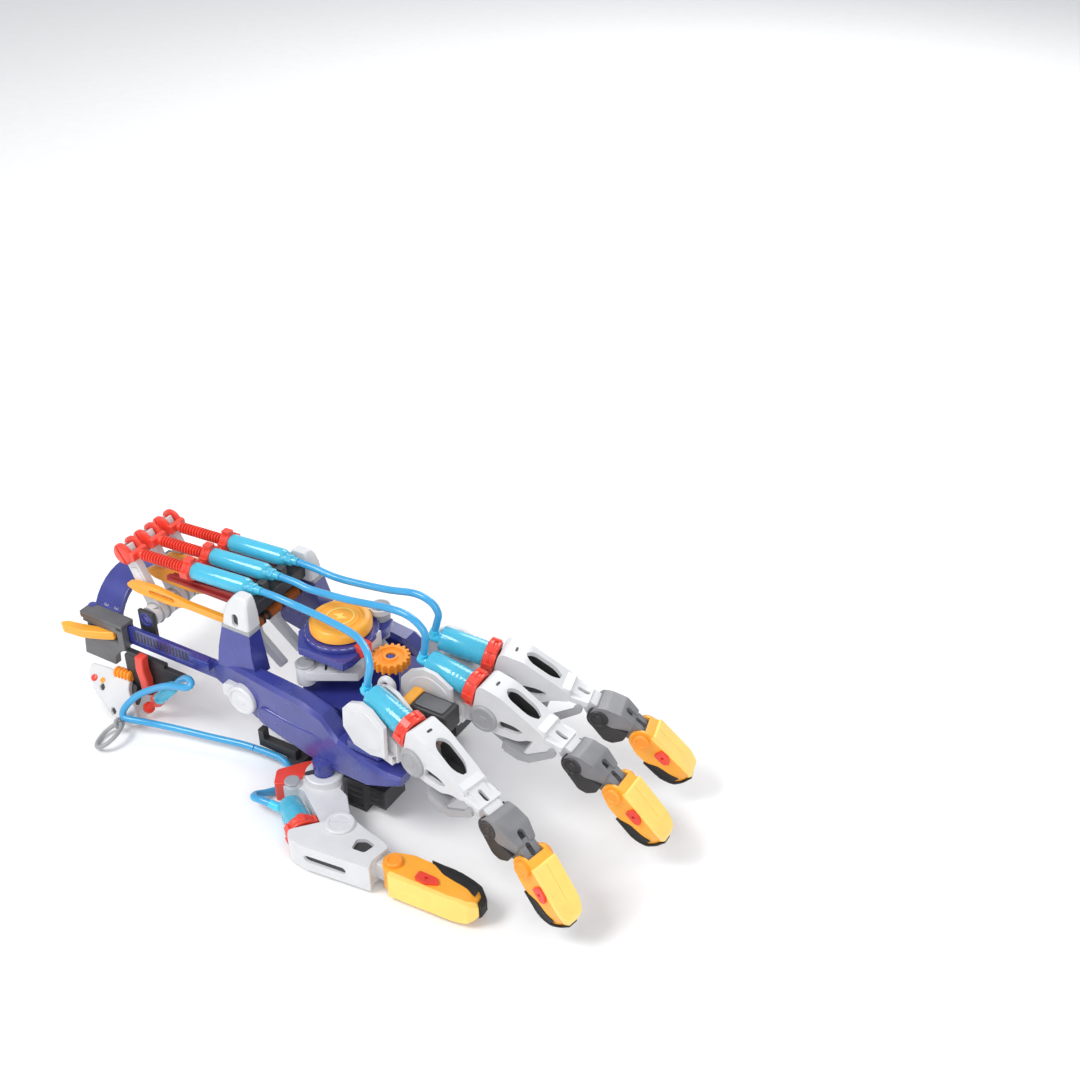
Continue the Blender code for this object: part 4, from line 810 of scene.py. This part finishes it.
def finger(name):
    at = finger_frames(name)
    knuckle, first = f"knuckle_{name}", at["first"]
    keep(knuckle, WHITE, 1.0)
    stub = [turn_profile((-42.2, 0, 8.3), (-50, 0, 8.3), [(0, 3.1), (5.4, 3.1), (7.2, 2.2), (7.5, 0.6)], 28),
            turn_profile((-46.6, 0, 8.3), (-46.6, 0, 14), [(0, 2.9), (3, 2.7), (4.6, 2.7), (4.75, 2.2)], 28)]
    output_cylinder(name, knuckle, first, -42, -14.5, 9.3, f"output_cylinder_{name}", stub)
    push_rod(name, f"rod_{name}", first, -35, 0, 9.3, f"output_rod_{name}")
    keep(f"curl_link_{name}", PALE, 0.7)
    ears = {"front": (-1, 1), "middle": (-1,), "back": (1,)}[name]
    panels = []
    for s in ears:
        face = [(-48, 5), (-44, 12), (-36, 16.2), (-30, 15.4), (-22, 10.5), (-23, -5), (-33, -9), (-44, -9), (-49, -3)]
        panels.append(plate(rounded(face, 3, 4), s * 10.2, s * 10.9))
    piece(f"ear_panel_{name}", knuckle, at["level"], WHITE, panels, bevel=0.8)

    body = f"proximal_{name}"
    side = (arc(0, 0, 8.05, 190, 290, 8) + [(12, -6), (22, -3.6), (28, 1.2), (37, 4.4), (37, 9.4), (28, 12.6), (7, 19.8),
                                           (-5, 20.2), (-7.7, 17.5)])
    hollow = [(-12, -16), (31, -16), (31.5, 8.6), (6.5, 17), (-12, 17.6)]
    window = plate(rounded([(5.5, 0), (10, -4.6), (24, -4.6), (30.5, 0), (24, 4.6), (10, 4.6)], 4), 6, 26, "xy")
    holes = [plate(rounded([(9, -2), (20, 0.5), (24.5, 4.5), (18, 5.4), (9, 4)], 2), s * 5, s * 9) for s in SIDES]
    # Outlines of the dark plates that paint the shade inside the bone's hollow.
    painted_shade_outline = [(9, -5), (20, -1.5), (29, 3), (30, 8), (7, 16), (5, 8)]
    floor = [(12, 3), (30, 4.5), (30, 6), (12, 4.6)]
    nose = [plate(rounded([(33, 3.6), (44, 2.6), (50.6, -4.4), (55.4, -4.9), (59.6, -2.6), (60.2, 1.6), (57, 4.8), (51, 6.8),
                           (46, 7.6), (33, 11)], 1.6, 3), -5.4, 5.4),
            plate(rounded([(34, -8.3), (47.6, -8.3), (47.6, 8.3), (34, 8.3)], 1.4, 3), 4.8, 8.2, "xy"),
            plate(rounded([(28, -6.6), (36, -7.6), (36, 7.6), (28, 6.6)], 1, 3), 6, 11.6, "xy")]
    bone_shell(name, body, first, side, nose, hollow, window, holes, (0, 9.3), painted_shade_outline, floor,
               [plate(slotted(42.6, 0, 7.6, 2.4), 5.4, 14, "xy")])
    # Dark plates at the bottom of the nose slot and in the slot on top: painted shade in these recesses.
    piece(f"bone_slots_{name}", body, first, DARK, [plate(slotted(42.6, 0, 7.4, 2.2), 5.2, 6.4, "xy"),
                                                    plate(slotted(0.5, 0, 3.4, 1.3, 90), 19.6, 20.3, "xy")], bevel=0)
    discs = []
    for s in SIDES:
        discs.append(turn_profile((0, s * 8.2, 0), (0, s * 12, 0), [(0, 8.4), (1.5, 8.4), (2.2, 7.7), (2.25, 6.2), (1.8, 5.8),
                                                                   (1.8, 2.2), (2.1, 1.9), (2.1, 0.6)], 40))
    piece(f"knuckle_disc_{name}", body, first, PALE, discs, bevel=0)

    body, second = f"middle_{name}", at["second"]
    top = [(-6.2, 1.5), (-4.6, 6.2), (0, 8.6), (9.5, 10), (18.4, 7.6), (18.4, 1.2), (8, -1), (-3, -1)]
    piece(f"second_bone_{name}", body, second, STEEL, [plate(rounded(top, 1.2, 3), -8.4, 8.4)],
          [block((-12, 6.4), (-5.8, 5.8), (-16, 5.9)), plate(slotted(15.4, 0, 9.6, 4.2), 5.6, 14, "xy")], bevel=0.7,
          instead=(body,), within=[plate([(-12, -8.4), (9, -8.4), (19, -6), (19, 6), (9, 8.4), (-12, 8.4)], -20, 20, "xy")])
    skirt = arc(0, 0, 7, 150, 260, 8) + [(9, -11.8), (14, -10.8), (18.2, -5.4), (18.2, 1), (8, -1.2), (0, -1)]
    piece(f"second_bone_skirt_{name}", body, second, DARK, [plate(rounded(skirt, 1.4, 3), -8.2, 8.2)],
          [block((-12, 6.4), (-5.8, 5.8), (-16, 5.9))], bevel=0.8)
    link = [plate(rounded([(15, -4.4), (24, -4.4), (29.4, -2.6), (30.4, 1), (28, 4.2), (20, 6.4), (15, 7.2)], 1.4, 3), -5.4, 5.4)]
    piece(f"second_bone_tongue_{name}", body, second, STEEL, link, [plate(slotted(21.5, 0, 7, 3), 5, 8, "xy")], bevel=0.6)
    # Dark plates at the bottom of the two slots: painted shade in these recesses.
    piece(f"second_bone_slot_{name}", body, second, DARK, [plate(slotted(15.4, 0, 9.4, 4.0), 5.2, 6.4, "xy"),
                                                            plate(slotted(21.5, 0, 6.8, 2.8), 5.0, 5.6, "xy")], bevel=0)
    buttons = []
    for s in SIDES:
        buttons.append(turn_profile((0, s * 7.8, 0), (0, s * 11, 0), [(0, 5.6), (0.9, 5.6), (1.4, 5.2), (1.4, 4.2), (0.9, 3.9),
                                                                     (0.9, 2.4), (1.3, 2.1), (1.3, 0.5)], 36))
    piece(f"second_bone_buttons_{name}", body, second, DARK, buttons, bevel=0)

    fingertip(name, f"tip_{name}", at["third"], 38.1, 10, f"tip_{name}", SIDES)


def thumb():
    curl = joints["thumb_curl"]
    rod_joint = joints["thumb_rod_slide"]
    tip = Vector(joints["thumb_tip_set"]["pos_m"])
    hinge = Vector(curl["pos_m"])
    y = Vector(curl["axis"])
    bone = placing(hinge, tip - hinge, y)
    axis = Vector(rod_joint["axis"])
    start = bone @ Vector((-40, 0, 2))
    cylinder = placing(start, axis, y)
    stub = [turn_profile((2.5, 0, 4), (-5.5, 0, 9), [(0, 2.8), (6, 2.6), (9.3, 2.6), (9.4, 2.2)], 28)]
    output_cylinder("thumb", "thumb_base", cylinder, 0, 20.5, 0, "thumb_cylinder", stub)
    push_rod("thumb", "thumb_rod", cylinder, 5, 33, 0, "thumb_rod")

    keep("thumb_bracket", WHITE, 0.9)
    swivel = placing(joints["thumb_swivel"]["pos_m"], (1, 0, 0), (0, 1, 0))
    cover = turn_profile((0, 0, 8.8), (0, 0, 13), [(0, 10.9), (0.9, 10.9), (1.5, 10.2), (1.5, 6.6), (1.1, 6.2), (1.1, 3.4)], 44)
    piece("thumb_pivot_cover", "thumb_base", swivel, WHITE, [cover], bevel=0)
    marks = [plate(slotted(-5.6, -4.6, 7.6, 3.4, 52), 9.9, 10.5, "xy")]
    piece("thumb_pivot_marks", "thumb_base", swivel, DARK, marks, bevel=0)
    pin = turn_profile((-12.5, -13.5, 7.2), (-12.5, -13.5, 12), [(0, 4.5), (0.9, 4.5), (1.4, 3.9), (1.4, 0.7)], 32)
    piece("thumb_bracket_pin", "thumb_base", swivel, PALE, [pin], bevel=0)
    red = rounded([(-26.4, -10), (-20.4, -20.2), (-14.6, -16.6), (-5.2, 4.2), (-9.8, 9.2), (-16, 4)], 2, 3)
    piece("thumb_clip", "thumb_base", swivel, RED, [plate(red, -5.8, 7.5, "xy")], bevel=0.8)

    side = (arc(0, 0, 8.05, 160, 290, 8) + [(12, -6.5), (26, -6), (32.6, -5), (32.6, 8.5), (36, 13), (-3, 24.5),
                                            (-15, 25), (-18.8, 20.6)])
    hollow = [(-30, -14), (27.5, -14), (27.5, 9.5), (-3, 20.6), (-30, 24)]
    window = plate(rounded([(15, 2), (19, -1.5), (26, -1), (25.5, 6.5), (18, 8.6)], 1.6), 0, 10, "xz")
    nose = [plate(rounded([(26, -4.6), (38, -4.6), (43, -4), (46, 0), (43.5, 4), (38, 5.4), (30, 6)], 1.6, 3), -5.4, 5.4)]
    slits = [plate(slotted(9, 0, 25, 4.6), 10, 27, "xy")]
    # Outlines of the dark plates that paint the shade inside the thumb bone's hollow.
    painted_shade_outline = [(10, -4), (27, -4), (27, 9), (0, 17), (0, 8)]
    floor = [(-2, 5), (26, 3), (26, 8.6), (-2, 18.6)]
    # A dark plate in the slits: painted shade inside the hollow.
    piece("thumb_slit", "thumb_proximal", bone, DARK, [plate([(-3.4, 18), (21.4, 11), (21.4, 15.9), (-3.4, 22.8)], -2.25, 2.25)],
          bevel=0)
    axis_pin = (-40 + 33 * math.cos(math.radians(23.1)), 2 + 33 * math.sin(math.radians(23.1)))
    bone_shell("thumb", "thumb_proximal", bone, side, nose, hollow, window, slits, axis_pin, painted_shade_outline, floor)
    disc = turn_profile((0, 8.2, 0), (0, 12, 0), [(0, 8.4), (1.5, 8.4), (2.1, 7.7), (2.1, 6.0), (1.7, 5.6), (1.7, 0.7)], 40)
    slot_cut = shifted(block((-4.6, 4.6), (-0.8, 0.8), (-0.5, 0.5)), (0, 10.2, 0), (0, 30, 0))
    piece("thumb_disc", "thumb_proximal", bone, WHITE, [disc], [slot_cut], bevel=0.2)
    last = placing(tip, turned(y, tip - hinge, 13), y)
    fingertip("thumb", "thumb_tip", last, 55.5, 10.6, "thumb_tip", (1,))


# ---------------------------------------------------------------- thumb control

def control():
    keep("slider_block", GREY, 0.9)
    keep("slider_lock", YELLOW, 0.9)
    top = [block((-1.4, 32.6), (-38.8, -28.6), (-1.15, 1.5)), block((-1.4, 32.6), (-38.8, -33.9), (-3, 0)),
           block((27.4, 32.4), (-38.8, -34), (-17, 0)),
           plate(rounded([(3, -12.6), (27, -12.6), (31.4, -17), (27, -19.4), (3, -19.4)], 1.4), -38.9, -35)]
    piece("slide_cover", "slider", DATUM, GREY, top, bevel=1.1)
    # A dark strip where the slide's slot is: painted shade in the slot.
    piece("slide_slot", "slider", DATUM, DARK, [block((-1.5, 27), (-34.6, -33.9), (-12.2, -5.8))], bevel=0)
    keep("trigger", RED, 1.0)
    right = [block((0.6, 32.4), (29.6, 38.6), (-18, 1.4))]
    piece("far_slide_block", "frame", DATUM, GREY, right, bevel=1.2)

    grip = inside(DATUM, (5, -40, -34), (-137.7, 0, 0))
    face = [(-3, 1.5), (-1, 9), (9, 17), (30, 26.8), (44, 26.8), (48, 23), (39, 15), (31, 8), (29, 0.8), (8, 0.3)]
    piece("grip_shell", "slider", grip, WHITE, [plate(rounded(face, 3, 4), 0, 4.2, "xy")],
          [plate(slotted(12.4, 12.6, 4.4, 3, 40), -1, 2, "xy"), plate(slotted(27.5, 23, 4.6, 2.4, 30), -1, 2, "xy")],
          bevel=1.3, instead=("grip",))
    body = [(2, 3), (6, 10), (22, 15), (36, 15), (34, 4), (24, 2.5)]
    piece("grip_core", "slider", grip, DARK, [plate(rounded(body, 2, 3), 3.6, 10.5, "xy")], bevel=0.7)
    piece("grip_shadows", "slider", grip, DARK, [plate(slotted(12.4, 12.6, 4.2, 2.8, 40), 1.4, 2.1, "xy"),
                                                 plate(slotted(27.5, 23, 4.4, 2.2, 30), 1.4, 2.1, "xy")], bevel=0)
    piece("grip_button", "slider", grip, RED, [rod((4.4, 9.4, -1), (4.4, 9.4, 1), 2.1, 0.5)], bevel=0)
    piece("grip_screw", "slider", grip, YELLOW, [screw((11, 8.8, 0), (0, 0, -1), 1.7, 0.8)], bevel=0)
    piece("grip_roller", "slider", grip, ORANGE, [ribbed((17, 0.8, 0.6), (30, -0.3, 0.6), 2.7, 3.6, 2.6)], bevel=0)

    web = rounded([(31, -17.9), (79, -17.9), (51, -43), (40, -47), (27, -46), (31, -34)], 2, 3)
    piece("grip_web", "slider", DATUM, DARK, [plate(web, -39.2, -35.6)], bevel=0.6)
    strip = [(77.4, -18.4), (80, -20.2), (53.2, -44.6), (50, -42.8)]
    piece("grip_web_edge", "slider", DATUM, RUST, [plate(rounded(strip, 0.8, 3), -39.5, -35.4)], bevel=0.5)
    rail = [plate(rounded([(33, -18.2), (63, -18.2), (63, -15.4), (33, -15.4)], 0.6), -38.9, -35.2)]
    piece("grip_web_rail", "slider", DATUM, DARK, rail, bevel=0.3)

    eye = inside(DATUM, (42.5, -63, -50.8), (9.5, -25.2, 1.7))
    lug = [rod((-1.1, 0, 0), (1.1, 0, 0), 3.6), block((-1.1, 1.1), (0, 7.2), (-2.2, 2.2))]
    piece("ring_lug", "slider", eye, PALE, lug, [rod((-3, 0, 0), (3, 0, 0), 2)], bevel=0.25)
    across, along, wire = 7.0, 10.0, 1.3
    loop = []
    for i in range(56):
        a = math.tau * i / 56
        out = Vector((along * math.cos(a), across * math.sin(a), 0)).normalized()
        centre = Vector((across * math.cos(a), along * (math.sin(a) - 1), 0))
        loop.append([centre + wire * (out * math.cos(b) + Vector((0, 0, math.sin(b))))
                     for b in (math.tau * j / 14 for j in range(14))])
    piece("hanging_ring", "key_ring", eye, PALE, [loft(loop, closed=True)], bevel=0, instead=("key_ring",))

    axis = placing(DATUM @ Vector((47.6, -43.4, -51.2)), joints["thumb_piston_slide"]["axis"], (0, 1, 0))
    wall = turn_profile((0, 0, 0), (1, 0, 0), [(16.6, 2.9), (16.6, 3.9), (36.6, 3.9), (37.8, 3.0), (38.4, 2.2), (42, 2.1),
                                             (42, 1.0), (36.2, 1.0), (36, 2.9)], 36, closed=True)
    piece("thumb_syringe", "slider", axis, TEAL, [wall], bevel=0, instead=("thumb_input_barrel",))
    piece("thumb_syringe_collar", "slider", axis, RED, [tube((13, 0, 0), (17, 0, 0), 4.3, 3.0)], bevel=0)
    piece("thumb_syringe_fluid", "slider", axis, CORE, [rod((33, 0, 0), (35.8, 0, 0), 2.8)], bevel=0)
    plunger = [rod((0, 0, 0), (2.4, 0, 0), 3.6), ribbed((2.2, 0, 0), (19.2, 0, 0), 1.5, 2.0, 1.6), rod((19, 0, 0), (22, 0, 0), 2.6)]
    piece("thumb_plunger", "thumb_piston", axis, RED, plunger, bevel=0, instead=("thumb_input_piston",))


frames()
bridge()
palm()
for name in FINGERS:
    input_lane(name)
    finger(name)
thumb()
control()
